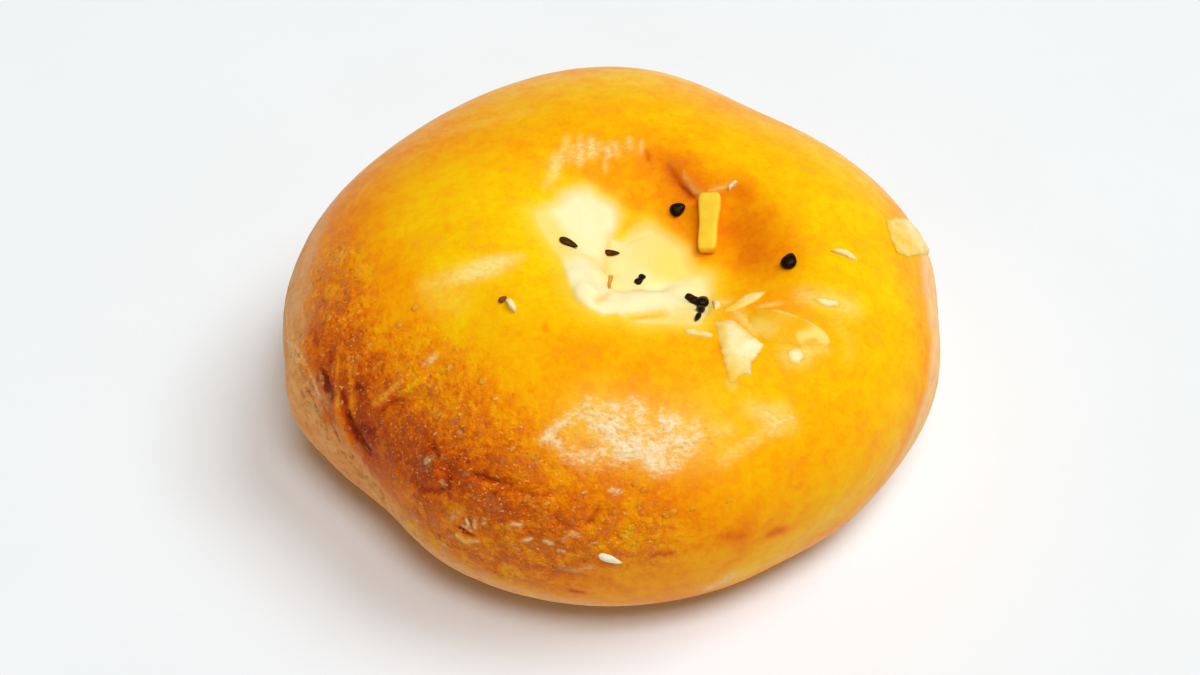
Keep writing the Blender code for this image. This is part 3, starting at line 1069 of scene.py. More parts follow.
@dataclass(frozen=True)
class AlmondFinish:
    """Cut almond: cream flesh with fine fibres, partly soaked with the amber wash."""

    tone: AlmondTone
    flesh: Color
    soaked: Color
    soaking: float
    roughness: float = 0.55
    cloud_roughness: float = 0.12
    bump_strength: float = 0.3
    bump_distance: float = 0.15
    specular: float = 0.25
    specular_tint: Color = (1.0, 0.78, 0.36)
    soft_light: float = 0.2
    soft_reach: Color = (1.2, 0.9, 0.5)

    def build(self, groups: SurfaceGroups) -> Material:
        """Put the material together.

        Args:
            groups: Shader groups that it uses.

        Returns:
            The material.
        """
        material, graph, shader = dress(f"almond_{self.tone.value}")
        clouds = graph.group(groups.mottle, size=2.6, detail=3.0, low=0.35, high=0.65)
        fibres = graph.group(groups.mottle, size=0.5, detail=3.0, low=0.3, high=0.7)
        share = graph.add(graph.attribute("soak"), graph.times(clouds, self.soaking), clamp=True)
        color = graph.mix(share, self.flesh, self.soaked)
        pale_share = graph.times(fibres, graph.span(share, 0.2, 1.0, 0.25, 0.06))
        grain = graph.group(groups.grain, size=0.45, pores=0.3)
        smoothed = self.roughness - self.cloud_roughness
        graph.fill(shader, {
            "Base Color": graph.mix(pale_share, color, self.flesh),
            "Roughness": graph.span(clouds, 0.0, 1.0, self.roughness, smoothed),
            "Normal": graph.bump(grain, self.bump_strength, self.bump_distance),
            "Specular IOR Level": self.specular, "Specular Tint": rgba(self.specular_tint),
            "Subsurface Weight": self.soft_light, "Subsurface Radius": self.soft_reach,
            "Subsurface Scale": MM})
        return material


CREAM = AlmondFinish(AlmondTone.CREAM, srgb(254, 238, 186), srgb(252, 196, 62), 0.3)
AMBER = AlmondFinish(AlmondTone.AMBER, srgb(253, 222, 122), srgb(252, 176, 6), 0.1, specular=0.14)
TOASTED = AlmondFinish(AlmondTone.TOASTED, srgb(236, 186, 84), srgb(196, 136, 34), 0.3)
YELLOW = AlmondFinish(AlmondTone.YELLOW, srgb(252, 210, 62), srgb(250, 188, 24), 0.5)


@dataclass(frozen=True)
class SeedFinish:
    """Sesame seed skin with a dull gloss and fine net of ridges."""

    name: str
    dark: Color
    light: Color
    roughness: float
    specular: float
    specular_tint: Color = (1.0, 0.72, 0.48)
    cloud_roughness: float = 0.15
    bump_strength: float = 0.35
    bump_distance: float = 0.06

    def build(self, groups: SurfaceGroups) -> Material:
        """Put the material together.

        Args:
            groups: Shader groups that it uses.

        Returns:
            The material.
        """
        material, graph, shader = dress(self.name)
        clouds = graph.group(groups.mottle, size=0.8, detail=3.0, low=0.35, high=0.7)
        grain = graph.group(groups.grain, size=0.22, pores=0.6)
        dulled = self.roughness + self.cloud_roughness
        graph.fill(shader, {
            "Base Color": graph.mix(clouds, self.dark, self.light),
            "Roughness": graph.span(clouds, 0.0, 1.0, self.roughness, dulled),
            "Normal": graph.bump(grain, self.bump_strength, self.bump_distance),
            "Specular IOR Level": self.specular, "Specular Tint": rgba(self.specular_tint)})
        return material


BLACK_SEED = SeedFinish("black_seed", (0.004, 0.002, 0.001), (0.020, 0.008, 0.003), 0.34, 0.12)
DUSKY_SEED = SeedFinish("dusky_seed", (0.030, 0.010, 0.001), (0.130, 0.038, 0.001), 0.36, 0.08)
BROWN_SEED = SeedFinish("brown_seed", srgb(110, 52, 18), srgb(196, 104, 34), 0.45, 0.3)
LIGHT_SEED = SeedFinish("light_seed", srgb(238, 226, 190), srgb(250, 240, 214), 0.5, 0.3)


@dataclass(frozen=True)
class FloorFinish:
    """Plain pale tabletop."""

    color: Color = (0.865, 0.865, 0.865)
    shade: Color = (0.85, 0.85, 0.85)
    roughness: float = 0.7
    specular: float = 0.1

    def build(self, groups: SurfaceGroups) -> Material:
        """Put the material together.

        Args:
            groups: Shader groups that it uses.

        Returns:
            The material.
        """
        material, graph, shader = dress("pale_floor")
        clouds = graph.group(groups.mottle, size=60.0, detail=4.0, low=0.3, high=0.7)
        graph.fill(shader, {
            "Base Color": graph.mix(clouds, self.color, self.shade), "Roughness": self.roughness,
            "Specular IOR Level": self.specular})
        return material


def make_piece(name: str, points: Array, faces: list, material: Material) -> Piece:
    """Make a mesh object from points in millimetres.

    Args:
        name: Name of the piece.
        points: Places of its points.
        faces: Corner numbers of its faces.
        material: Its finish.

    Returns:
        The piece, with its place in its mesh.
    """
    mesh = bpy.data.meshes.new(name)
    mesh.from_pydata((np.asarray(points) * MM).tolist(), [], [list(map(int, face)) for face in faces])
    mesh.materials.append(material)
    mesh.polygons.foreach_set("use_smooth", [True] * len(mesh.polygons))
    mesh.update()
    return add_object(name, mesh)


def add_field(mesh: bpy.types.Mesh, name: str, values: Array) -> None:
    """Store a number, or three, at each point of a mesh.

    Args:
        mesh: Mesh that keeps the field.
        name: Name of the field.
        values: One row for each point.
    """
    several = values.ndim == 2
    kind = "FLOAT_VECTOR" if several else "FLOAT"
    field = mesh.attributes.new(name, kind, "POINT")
    field.data.foreach_set("vector" if several else "value", values.astype(np.float32).ravel())


def settle(piece: Piece, tree: Tree, values: dict[str, float | str | Material]) -> Piece:
    """Run Geometry Nodes on a piece and keep the result as its plain mesh.

    Args:
        piece: Piece to work on.
        tree: Tree to run.
        values: Values of the tree's inputs by their names.

    Returns:
        The same piece with its new mesh.
    """
    modifier = piece.modifiers.new(tree.name, "NODES")
    modifier.node_group = tree
    sockets = {item.name: item.identifier for item in tree.interface.items_tree if item.in_out == "INPUT"}
    for name, value in values.items():
        modifier[sockets[name]] = value
    bpy.context.view_layer.update()
    graph = bpy.context.evaluated_depsgraph_get()
    mesh = bpy.data.meshes.new_from_object(piece.evaluated_get(graph), depsgraph=graph)
    old = piece.data
    piece.modifiers.clear()
    piece.data = mesh
    mesh.name = piece.name
    bpy.data.meshes.remove(old)
    return piece


class ShapeGraph(Graph):
    """A Geometry Nodes tree while it is put together."""

    def __init__(self, name: str, numbers: dict[str, float], whole: dict[str, int] | None = None) -> None:
        """Start a tree with a mesh, a finish and named inputs.

        Args:
            name: Name of the tree.
            numbers: Names and usual values of its size inputs.
            whole: Names and usual values of its whole-number inputs.
        """
        super().__init__(bpy.data.node_groups.new(name, "GeometryNodeTree"))
        interface = self.tree.interface
        interface.new_socket("Mesh", in_out="INPUT", socket_type="NodeSocketGeometry")
        interface.new_socket("Finish", in_out="INPUT", socket_type="NodeSocketMaterial")
        self.offer("NodeSocketFloat", numbers)
        self.offer("NodeSocketInt", whole or {})
        interface.new_socket("Mesh", in_out="OUTPUT", socket_type="NodeSocketGeometry")
        self.given = self.node("NodeGroupInput").outputs

    def scale(self, vector: Input, factor: Input) -> Socket:
        """Multiply a direction by a number."""
        return self.node("ShaderNodeVectorMath", {0: vector, "Scale": factor}, operation="SCALE").outputs[0]

    def field(self, name: str, vector: bool = False) -> Socket:
        """Read a number, or three, that the mesh carries at each point."""
        kind = "FLOAT_VECTOR" if vector else "FLOAT"
        return self.node("GeometryNodeInputNamedAttribute", {"Name": name}, data_type=kind).outputs[0]

    def store(self, mesh: Socket, name: str, value: Input, domain: str) -> Socket:
        """Keep a number on the mesh.

        Args:
            mesh: Mesh or instances that keep it.
            name: Name of the number.
            value: The number.
            domain: Whether each point or each instance has its own.

        Returns:
            The mesh with the number.
        """
        inputs = {"Geometry": mesh, "Name": name, "Value": value}
        settings = {"data_type": "FLOAT", "domain": domain}
        return self.node("GeometryNodeStoreNamedAttribute", inputs, **settings).outputs[0]

    def move(self, mesh: Socket, distance: Input) -> Socket:
        """Move each point out of the surface, in metres."""
        offset = self.scale(self.node("GeometryNodeInputNormal").outputs[0], distance)
        return self.node("GeometryNodeSetPosition", {"Geometry": mesh, "Offset": offset}).outputs[0]

    def noise(self, size: Input, detail: float, place: Input | None = None) -> Socket:
        """Make soft noise, about 0.5 in the middle.

        Args:
            size: Size of its lumps in millimetres.
            detail: How many finer layers it has.
            place: Where it is read, or nothing for the plain skin.

        Returns:
            The noise.
        """
        vector = self.field("rest_place", vector=True) if place is None else place
        inputs = {"Vector": vector, "Scale": self.over(1.0, size), "Detail": detail}
        return self.node("ShaderNodeTexNoise", inputs).outputs[0]

    def end(self, mesh: Socket) -> Tree:
        """Realize the instances, give the finish and close the tree.

        Args:
            mesh: The finished geometry.

        Returns:
            The tree.
        """
        whole = self.node("GeometryNodeRealizeInstances", {0: mesh}).outputs[0]
        dressed = self.node("GeometryNodeSetMaterial", {"Geometry": whole, "Material": self.given["Finish"]})
        self.node("NodeGroupOutput", {"Mesh": dressed.outputs[0]})
        return self.tree


@dataclass(frozen=True)
class CrustRelief:
    """Geometry Nodes that give the crust its wrinkles, lumps and pits, with sizes in millimetres."""

    swell: float = 0.30
    swell_size: float = 16.0
    wrinkle: float = 0.20
    wrinkle_size: float = 2.6
    blister: float = 0.42
    blister_size: float = 1.5
    blister_bend: float = 2.0
    dome_reach: float = 0.62
    patch_size: float = 6.0
    patch_low: float = 0.40
    patch_high: float = 0.62
    grit: float = 0.40
    grit_size: float = 1.2
    fold: float = 0.35
    fold_size: float = 6.5
    fold_low: float = 0.35
    fold_high: float = 0.65
    rough_blistered: float = 0.8
    rough_bare: float = 0.9
    rough_film: float = 0.6
    rough_everywhere: float = 0.12

    def build(self) -> Tree:
        """Build the tree.

        Returns:
            The tree.
        """
        sizes = {name.replace("_", " ").capitalize(): size for name, size in asdict(self).items()}
        graph = ShapeGraph("crust_relief", sizes)
        given = graph.given
        place = graph.field("rest_place", vector=True)
        blistered, bare, pale = graph.field("blister"), graph.field("bare"), graph.field("pale")
        swell = graph.minus(graph.noise(given["Swell size"], 2.0), 0.5)
        total = graph.times(swell, given["Swell"])
        wrinkle = graph.minus(graph.noise(given["Wrinkle size"], 3.0), 0.5)
        rough = graph.times(blistered, given["Rough blistered"])
        rough = graph.add(rough, graph.times(bare, given["Rough bare"]))
        rough = graph.add(rough, graph.times(graph.field("film"), given["Rough film"]))
        wrinkle = graph.times(wrinkle, graph.add(rough, given["Rough everywhere"]))
        total = graph.add(total, graph.times(wrinkle, given["Wrinkle"]))

        grit = graph.times(graph.minus(graph.noise(given["Grit size"], 1.0), 0.5), blistered)
        total = graph.add(total, graph.times(grit, given["Grit"]))

        bent = graph.node("ShaderNodeTexNoise", {
            "Vector": place, "Scale": graph.over(1.0, given["Blister bend"]), "Detail": 2.0})
        moved = graph.node("ShaderNodeVectorMath", {0: place, 1: bent.outputs["Color"]}, operation="ADD")
        cells = graph.node("ShaderNodeTexVoronoi", {
            "Vector": moved.outputs[0], "Scale": graph.over(1.0, given["Blister size"])}, feature="SMOOTH_F1")
        dome = graph.span(cells.outputs["Distance"], 0.0, given["Dome reach"], 1.0, 0.0)
        patchy = graph.noise(given["Patch size"], 2.0)
        patchy = graph.span(patchy, given["Patch low"], given["Patch high"])
        dome = graph.times(dome, graph.times(patchy, blistered))
        total = graph.add(total, graph.times(dome, given["Blister"]))

        furrow = graph.noise(given["Fold size"], 1.0)
        furrow = graph.span(furrow, given["Fold low"], given["Fold high"], -1.0, 1.0)
        total = graph.add(total, graph.times(graph.times(furrow, pale), given["Fold"]))
        total = graph.times(graph.times(total, graph.field("free")), MM)
        return graph.end(graph.move(given["Mesh"], total))


@dataclass(frozen=True)
class CrustBlisters:
    """Geometry Nodes that scatter small raised blisters over the skin, with sizes in millimetres, each with a
    painted glint on the side that faces the light.
    """

    toward_light: tuple[float, float, float] = (0.10, -0.25, 0.96)
    crowding: float = 1.5
    patch_size: float = 5.0
    patches: tuple[float, ...] = (0.36, 0.60, 0.15, 1.0)
    rareness: float = 3.2
    turn: float = 0.5
    glint_facing: tuple[float, float] = (0.45, 0.9)

    def build(self) -> Tree:
        """Build the tree.

        Returns:
            The tree.
        """
        sizes = {"Density": 1.0, "Small": 0.15, "Large": 0.5, "Rise": 0.4, "Length": 1.2, "Tip": 0.5}
        graph = ShapeGraph("crust_blisters", sizes, {"Seed": 11})
        graph.tree.interface.new_socket("Where", in_out="INPUT", socket_type="NodeSocketString")
        given = graph.given
        chance = graph.math("POWER", graph.field(given["Where"]), self.crowding)
        patchy = graph.span(graph.noise(self.patch_size, 2.0), *self.patches)
        each = graph.times(graph.times(chance, patchy), given["Density"])
        density = graph.over(each, MM * MM)
        spread = graph.node("GeometryNodeDistributePointsOnFaces", {
            "Mesh": given["Mesh"], "Density": density, "Seed": given["Seed"]}, distribute_method="RANDOM")
        ball = graph.node("GeometryNodeMeshIcoSphere", {"Radius": MM, "Subdivisions": 2})
        pick = graph.node("FunctionNodeRandomValue", {"Seed": given["Seed"]}, data_type="FLOAT")
        rare = graph.math("POWER", pick.outputs[1], self.rareness)
        size = graph.span(rare, 0.0, 1.0, given["Small"], given["Large"])
        height = graph.times(size, given["Rise"])
        long = graph.times(size, given["Length"])
        wide = graph.node("ShaderNodeCombineXYZ", {"X": long, "Y": size, "Z": height})
        across = graph.node("FunctionNodeAlignRotationToVector", {
            "Rotation": spread.outputs["Rotation"], "Vector": (1.0, 0.0, 0.0)}, axis="X", pivot_axis="Z")
        spin = graph.node("FunctionNodeRandomValue", {
            "Min": -self.turn, "Max": self.turn, "Seed": given["Seed"]}, data_type="FLOAT")
        turn = graph.node("ShaderNodeCombineXYZ", {"Z": spin.outputs[1]}).outputs[0]
        turned = graph.node("FunctionNodeRotateRotation", {
            "Rotation": across.outputs[0], "Rotate By": turn}, rotation_space="LOCAL").outputs[0]
        smooth_ball = graph.node("GeometryNodeSetShadeSmooth", {0: ball.outputs["Mesh"]}).outputs[0]
        domes = graph.node("GeometryNodeInstanceOnPoints", {
            "Points": spread.outputs["Points"], "Instance": smooth_ball,
            "Rotation": turned, "Scale": wide.outputs[0]}).outputs[0]
        # A painted glint on the side of each dome that faces the light, kept with the film
        glint = graph.node("FunctionNodeRandomValue", {"Seed": given["Seed"]}, data_type="FLOAT").outputs[1]
        whole = graph.node("GeometryNodeRealizeInstances", {
            0: graph.store(domes, "glint", graph.times(glint, given["Tip"]), "INSTANCE")}).outputs[0]
        normal = graph.node("GeometryNodeInputNormal").outputs[0]
        facing = graph.node("ShaderNodeVectorMath", {
            0: normal, 1: self.toward_light}, operation="DOT_PRODUCT").outputs["Value"]
        shine = graph.times(graph.field("glint"), graph.span(facing, *self.glint_facing))
        film_and_tip_glints = graph.most(graph.field("film"), shine)
        return graph.end(graph.store(whole, "film", film_and_tip_glints, "POINT"))


# How the blisters and the flecks lie on the skin, with their sizes in millimetres; Tip sets the strength of
# their painted glints
BLISTERS = {
    "crust_blisters": {"Where": "blister", "Density": 0.55, "Small": 0.18, "Large": 0.60, "Rise": 0.20,
                       "Length": 1.3, "Tip": 0.10, "Seed": 11},
    "crust_flecks": {"Where": "fleck", "Density": 2.2, "Small": 0.12, "Large": 0.30, "Rise": 0.22,
                     "Length": 2.0, "Tip": 0.6, "Seed": 12},
}


@dataclass(frozen=True)
class MarkLevels:
    """How the crust's broad marks fade, in millimetres and degrees, and their levels."""

    front: tuple[float, float] = (5.0, 35.0)
    right: tuple[float, float] = (0.0, 30.0)
    right_sharper: float = 0.35
    wash_fade: tuple[float, float] = (4.0, 3.0)
    wash_fade_front: float = 2.0
    wash_even: float = 7.0
    fold_edge: float = 0.4
    fold_soft_edge: float = 1.5
    halo: float = 0.75
    halo_reach: float = 1.7
    white: float = 0.4
    bake: float = 0.20
    rim_reach: float = 9.0
    rim_bake: tuple[float, float] = (0.04, 0.10)
    rim_side: float = 20.0
    scorch: float = 0.28
    scorch_left: float = 0.11
    left: tuple[float, float] = (-45.0, -15.0)
    scorch_low: float = 0.08
    low: float = 5.0
    base_free: float = 3.0
    sheen_most: float = 0.92
    crease_share: float = 1.3
    crease_from: float = 0.25
    crease_most: float = 0.55


@dataclass
class Crust:
    """The bun's skin: one closed mesh with its marks, its relief and its blisters."""

    form: BunForm
    camera: PhotoCamera
    grid: int = 236
    samples: int = 400
    side_rings: int = 40
    side_spread: float = 0.62
    base_shares: tuple[float, ...] = (0.55, 0.25)
    fine_corner: float = 0.18
    reach_over: float = 8.0
    look_past: float = 80.0
    looks: int = 161

    def __post_init__(self) -> None:
        """Lay out the plain skin."""
        self.points, self.faces = self.skin()
        self.canvas = Canvas(self.points, self.faces, self.camera)

    def arc_shares(self, shares: Array, heights: Array, wanted: Array) -> Array:
        """Spread rings evenly along a profile.

        Args:
            shares: Shares of the belt's radius along the profile.
            heights: Heights along the profile.
            wanted: Shares of the profile's length.

        Returns:
            The share along the samples at each wanted length.
        """
        steps = np.hypot(np.diff(shares * self.form.belt_radius), np.diff(heights))
        length = np.concatenate([[0.0], np.cumsum(steps)])
        return np.interp(wanted, length / length[-1], np.linspace(0.0, 1.0, len(shares)))

    def crown(self) -> tuple[Array, Array, Array, Array]:
        """Lay out the crown as a square grid bent into a disc.

        Returns:
            Its points, its faces, the numbers of its rim's points and their directions.
        """
        form, count = self.form, self.grid
        line = np.linspace(-1.0, 1.0, count)
        line = line - self.fine_corner * (1.0 - line**2)
        a, b = np.meshgrid(line, line, indexing="ij")
        wide = np.abs(a) > np.abs(b)
        reach = np.where(wide, a, b)
        other = np.divide(np.where(wide, b, a), reach, out=np.zeros_like(a), where=reach != 0.0)
        turn = np.where(wide, np.pi / 4 * other, np.pi / 2 - np.pi / 4 * other)
        turn = np.where(reach < 0.0, turn + np.pi, turn)
        samples = np.sin(np.linspace(0.0, np.pi / 2, self.samples))
        dome = (form.crown_height - form.belt_height) * (1.0 - samples**2) ** (1.0 / form.roundness)
        at = self.arc_shares(samples, dome, np.abs(reach).ravel())
        radius = np.sin(np.pi / 2 * at).reshape(a.shape) * form.plan_radius(turn)
        x, y = radius * np.cos(turn), radius * np.sin(turn)
        points = np.stack([x, y, form.height(x, y)], axis=-1).reshape(-1, 3)
        index = np.arange(count * count).reshape(count, count)
        corners = (index[:-1, :-1], index[1:, :-1], index[1:, 1:], index[:-1, 1:])
        faces = np.stack(corners, axis=-1).reshape(-1, 4)
        rim = np.concatenate([index[:, 0], index[-1, 1:], index[-2::-1, -1], index[0, -2:0:-1]])
        return points, faces, rim, turn.reshape(-1)[rim]

    def skin(self) -> tuple[Array, Array]:
        """Add the side's rings and the flat base to the crown.

        Returns:
            The points in millimetres and the four-sided faces.
        """
        form = self.form
        crown, crown_faces, upper, turn = self.crown()
        belt = form.plan_radius(turn)
        quarter = np.linspace(0.0, np.pi / 2, self.samples)
        power = 2.0 / form.roundness
        low_share = form.base_share + (1.0 - form.base_share) * np.abs(np.cos(quarter)) ** power
        low_height = form.belt_height * (1.0 - np.sin(quarter) ** power)
        steps = np.arange(1, self.side_rings + 1) / self.side_rings
        steps = self.side_spread * steps + (1.0 - self.side_spread) * steps**3
        at = self.arc_shares(low_share, low_height, steps)
        given = np.linspace(0.0, 1.0, self.samples)
        shares = np.concatenate([np.interp(at, given, low_share), self.base_shares])
        heights = np.concatenate([np.interp(at, given, low_height), np.zeros(len(self.base_shares))])
        points, faces, total = [crown], [crown_faces], len(crown)
        for share, height in zip(shares, heights):
            reach = share * belt
            ring = [reach * np.cos(turn), reach * np.sin(turn), np.full(len(turn), height)]
            points.append(np.stack(ring, axis=-1))
            lower = total + np.arange(len(turn))
            faces.append(np.stack([upper, lower, np.roll(lower, -1), np.roll(upper, -1)], axis=-1))
            upper, total = lower, total + len(turn)
        points.append(np.zeros((1, 3)))
        middle = np.full(len(turn) // 2, total)
        first, second, third = (np.roll(upper, -step)[0::2] for step in (0, 1, 2))
        faces.append(np.stack([first, middle, third, second], axis=-1))
        return np.concatenate(points) - form.middle(), np.concatenate(faces)

    def wash_height(self, even: float) -> Array:
        """Find how far each point lies above the lower edge of the egg wash, in millimetres.

        Args:
            even: Degrees to each side over which the edge is evened out.

        Returns:
            The heights.
        """
        x, y = (self.points + self.form.middle())[:, :2].T
        turn = np.degrees(np.arctan2(y, x))
        directions, heights = np.array(WASH_EDGE).T
        looks = [np.interp(turn + shift, directions, heights, period=360.0) for shift in (-even, 0.0, even)]
        return self.points[:, 2] - sum(looks) / len(looks)

    def marks(self) -> dict[str, Array]:
        """Work out every field that the relief and the finish read.

        Returns:
            The fields by name, each from 0 to 1.
        """
        canvas, level = self.canvas, MarkLevels()
        x, y, low = self.points.T
        above = self.wash_height(level.wash_even)
        front = smooth(-y, *level.front)
        sharp = (1.0 - level.right_sharper * smooth(x, *level.right)) * (1.0 + smooth(y, *level.front))
        under, over = ((fade + level.wash_fade_front * front) * sharp for fade in level.wash_fade)
        depth = canvas.inside(PALE_OUTLINE)
        near_soft, _ = canvas.distance(PALE_SOFT_SIDE)
        softness = level.fold_edge + level.fold_soft_edge * bell(near_soft / PALE_SOFT_SIDE.reach)
        fold = smooth(depth, -softness, softness)
        pale = fold * (1.0 - np.clip(canvas.paint(PALE_CREASES), 0.0, 1.0))
        glazed = 1.0 - pale
        # Bake a little darker towards the lower edge of the wash, more on the right
        rim = level.rim_bake[0] + level.rim_bake[1] * smooth(x, -level.rim_side, level.rim_side)
        rim_darkening = smooth(-above, -level.rim_reach, 0.0) * rim
        dark = canvas.paint(BAKE_MARKS)
        away = ((np.degrees(np.arctan2(y, x)) - SCORCH_TOWARD + 180.0) % 360.0 - 180.0) / SCORCH_SPREAD
        toasted = level.scorch * bell(away) + level.scorch_left * smooth(-x, *level.left)
        toasted = toasted + level.scorch_low * smooth(-low, -level.low, 0.0)
        # Strong dark marks take a dark red-brown, partly painted shade in crevices; the dimple's walls add
        # painted shade
        crease = np.clip(dark * level.crease_share - level.crease_from, 0.0, level.crease_most)
        return {
            "bake": np.clip(canvas.tone(BAKE_TONES, level.bake) + rim_darkening + dark, 0.0, 1.0),
            "bare": smooth(-above, -under, over),
            "scorch": toasted + canvas.paint(SCORCH_MARKS),
            "pale": pale,
            "white": canvas.tone(PALE_TONES, level.white),
            "halo": bell(np.minimum(depth, 0.0) / level.halo_reach) * (1.0 - fold) * level.halo,
            # Film: mostly painted highlights; sheen: painted highlights
            "film": np.clip(canvas.paint(FILM_AND_HIGHLIGHT_MARKS), 0.0, 1.0) * glazed,
            "sheen": np.clip(canvas.paint(SHEEN_MARKS), 0.0, level.sheen_most) * glazed,
            "blister": np.clip(canvas.paint(BLISTER_MARKS), 0.0, 1.0),
            "fleck": np.clip(canvas.paint(FLECK_MARKS), 0.0, 1.0) * glazed,
            "crease": crease + canvas.paint(WALL_SHADE),
            "free": smooth(low, 0.0, level.base_free),
        }

    def build(self, finish: Material) -> list[Piece]:
        """Build the skin and its blisters.

        Args:
            finish: Finish of the crust.

        Returns:
            The crust, its round blisters and its pale flecks, each as its own piece.
        """
        crust = make_piece("bun_crust", self.points, self.faces, finish)
        normals = np.zeros(len(self.points) * 3, np.float32)
        crust.data.vertices.foreach_get("normal", normals)
        marks = self.marks()
        relief = self.canvas.paint(RELIEF_MARKS) * marks["free"]
        places = self.points + relief[:, None] * normals.reshape(-1, 3)
        crust.data.vertices.foreach_set("co", (places * MM).ravel())
        crust.data.update()
        add_field(crust.data, "rest_place", self.points)
        for name, values in marks.items():
            add_field(crust.data, name, values)
        settle(crust, CrustRelief().build(), {"Finish": finish})
        crust.data.polygons.foreach_set("use_smooth", [True] * len(crust.data.polygons))
        corners = [vertex.co / MM for vertex in crust.data.vertices]
        self.tree = BVHTree.FromPolygons(corners, self.faces.tolist())
        pieces, tree = [crust], CrustBlisters().build()
        for name, values in BLISTERS.items():
            piece = add_object(name, crust.data.copy())
            pieces.append(settle(piece, tree, {"Finish": finish, **values}))
        return pieces

    def ground(self, pixel: Pixel) -> tuple[Array, Array]:
        """Find the finished crust's surface at a pixel, or beside it where the ray just misses.

        Args:
            pixel: Pixel of the photograph, on the bun.

        Returns:
            The place in millimetres and the direction out of the surface.
        """
        start, ray = Vector(self.camera.place()), Vector(self.camera.ray(pixel))
        place, normal, _, _ = self.tree.ray_cast(start, ray)
        if place is None:
            reach = self.camera.distance
            passes = np.linspace(reach - self.look_past, reach + self.look_past, self.looks)
            passes = [start + ray * away for away in passes]
            place = min(passes, key=lambda point: self.tree.find_nearest(point)[3])
            normal = self.tree.find_nearest(place)[1]
        return np.array(place), np.array(normal)

    def height_over(self, base: Array, out: Array) -> float:
        """Find how high the finished crust lies over a place.

        Args:
            base: The place.
            out: Direction to measure along, of length 1.

        Returns:
            The height in millimetres.
        """
        place, _, _, _ = self.tree.ray_cast(Vector(base + self.reach_over * out), Vector(-out))
        return 0.0 if place is None else float((np.array(place) - base) @ out)


@dataclass(frozen=True)
class Flake:
    """A thin cut piece of almond that lies on the crown, in millimetres and pixels of the photograph."""

    name: str
    outline: Outline
    finish: AlmondFinish
    thickness: float = 0.40
    edge_power: float = 5.0
    sink: float = 0.14
    rim_soak: float = 0.7
    rim_start: float = 0.7
    stiff: float = 0.0
    lift: float = 0.0
    lift_toward: float = 0.0
    soak: float = 0.0
    soaks: tuple[Stroke, ...] = ()
    jagged: float = 0.12
    seed: int = 1
    stands_for: str = ""
    wave: float = 0.06
    wave_rates: tuple[float, float] = (2.1, 1.7)
    rim_thinner: float = 0.9
    around: int = 84
    rings: int = 14

    def edge(self, corners: Array) -> Array:
        """Spread points evenly along the outline and fray it a little.

        Args:
            corners: The outline's corners in the flake's own plane.

        Returns:
            Points round the outline.
        """
        closed = np.concatenate([corners, corners[:1]])
        length = np.concatenate([[0.0], np.cumsum(np.linalg.norm(np.diff(closed, axis=0), axis=1))])
        at = np.arange(self.around) / self.around * length[-1]
        points = np.stack([np.interp(at, length, closed[:, axis]) for axis in (0, 1)], axis=-1)
        points = (np.roll(points, 1, axis=0) + 2.0 * points + np.roll(points, -1, axis=0)) / 4.0
        fray = np.random.default_rng(self.seed).normal(0.0, self.jagged, self.around)
        fray = (fray + np.roll(fray, 1)) / 2.0
        away = points - corners.mean(axis=0)
        return points + away / np.linalg.norm(away, axis=1, keepdims=True) * fray[:, None]

    def shape(self, crust: Crust) -> tuple[Array, list, Array]:
        """Lay the flake on the crust.

        Args:
            crust: The bun's skin.

        Returns:
            Its points, its faces and how much each point is soaked.
        """
        grounded = [crust.ground(pixel) for pixel in self.outline]
        corners = np.array([place for place, _ in grounded])
        out = unit(np.mean([normal for _, normal in grounded], axis=0))
        right = unit(np.cross([0.0, 1.0, 0.0], out))
        up = np.cross(out, right)
        middle = corners.mean(axis=0)
        flat = np.stack([(corners - middle) @ right, (corners - middle) @ up], axis=-1)
        edge, center = self.edge(flat), flat.mean(axis=0)
        shares = np.linspace(0.0, 1.0, self.rings + 1)[1:]
        plane = np.concatenate([center[None], *[center + share * (edge - center) for share in shares]])
        base = middle + plane[:, :1] * right + plane[:, 1:] * up
        share = np.concatenate([[0.0], np.repeat(shares, self.around)])
        heights = np.array([crust.height_over(place, out) for place in base])
        lying = heights * (1.0 - self.stiff) + self.stiff * heights[0]
        span = np.linalg.norm(edge - center, axis=1).max()
        toward = math.radians(self.lift_toward)
        along = (plane - center) @ np.array([math.cos(toward), math.sin(toward)]) / span
        lying = lying + self.lift * np.clip(along, 0.0, 1.0) ** 2
        lying = lying - self.sink * share**3 * (1.0 - np.clip(along * self.lift, 0.0, 1.0))
        ripples = np.sin(plane * self.wave_rates + (self.seed, -self.seed))
        thick = self.thickness * (1.0 - self.rim_thinner * share**self.edge_power)
        top = base + (lying + thick + self.wave * ripples[:, 0] * ripples[:, 1])[:, None] * out
        bottom = base + lying[:, None] * out
        soaked = crust.canvas.tone(self.soaks, self.soak, base)
        soaked = np.maximum(soaked, self.rim_soak * smooth(share, self.rim_start, 1.0))
        return np.concatenate([top, bottom]), self.faces(len(plane)), np.tile(soaked, 2)

    def faces(self, side: int) -> list:
        """Join the rings of the top, the bottom and the rim.

        Args:
            side: Number of points on one side of the flake.

        Returns:
            Corner numbers of the faces.
        """
        faces, around = [], self.around
        outermost = 1 + (self.rings - 1) * around
        for index in range(around):
            following = (index + 1) % around
            faces.append((0, 1 + index, 1 + following))
            faces.append((side, side + 1 + following, side + 1 + index))
            for near in range(1, outermost, around):
                face = (near + index, near + around + index, near + around + following, near + following)
                faces.append(face)
                faces.append(tuple(side + face[corner] for corner in (0, 3, 2, 1)))
            rim = (outermost + index, outermost + following)
            faces.append((rim[0], side + rim[0], side + rim[1], rim[1]))
        return faces


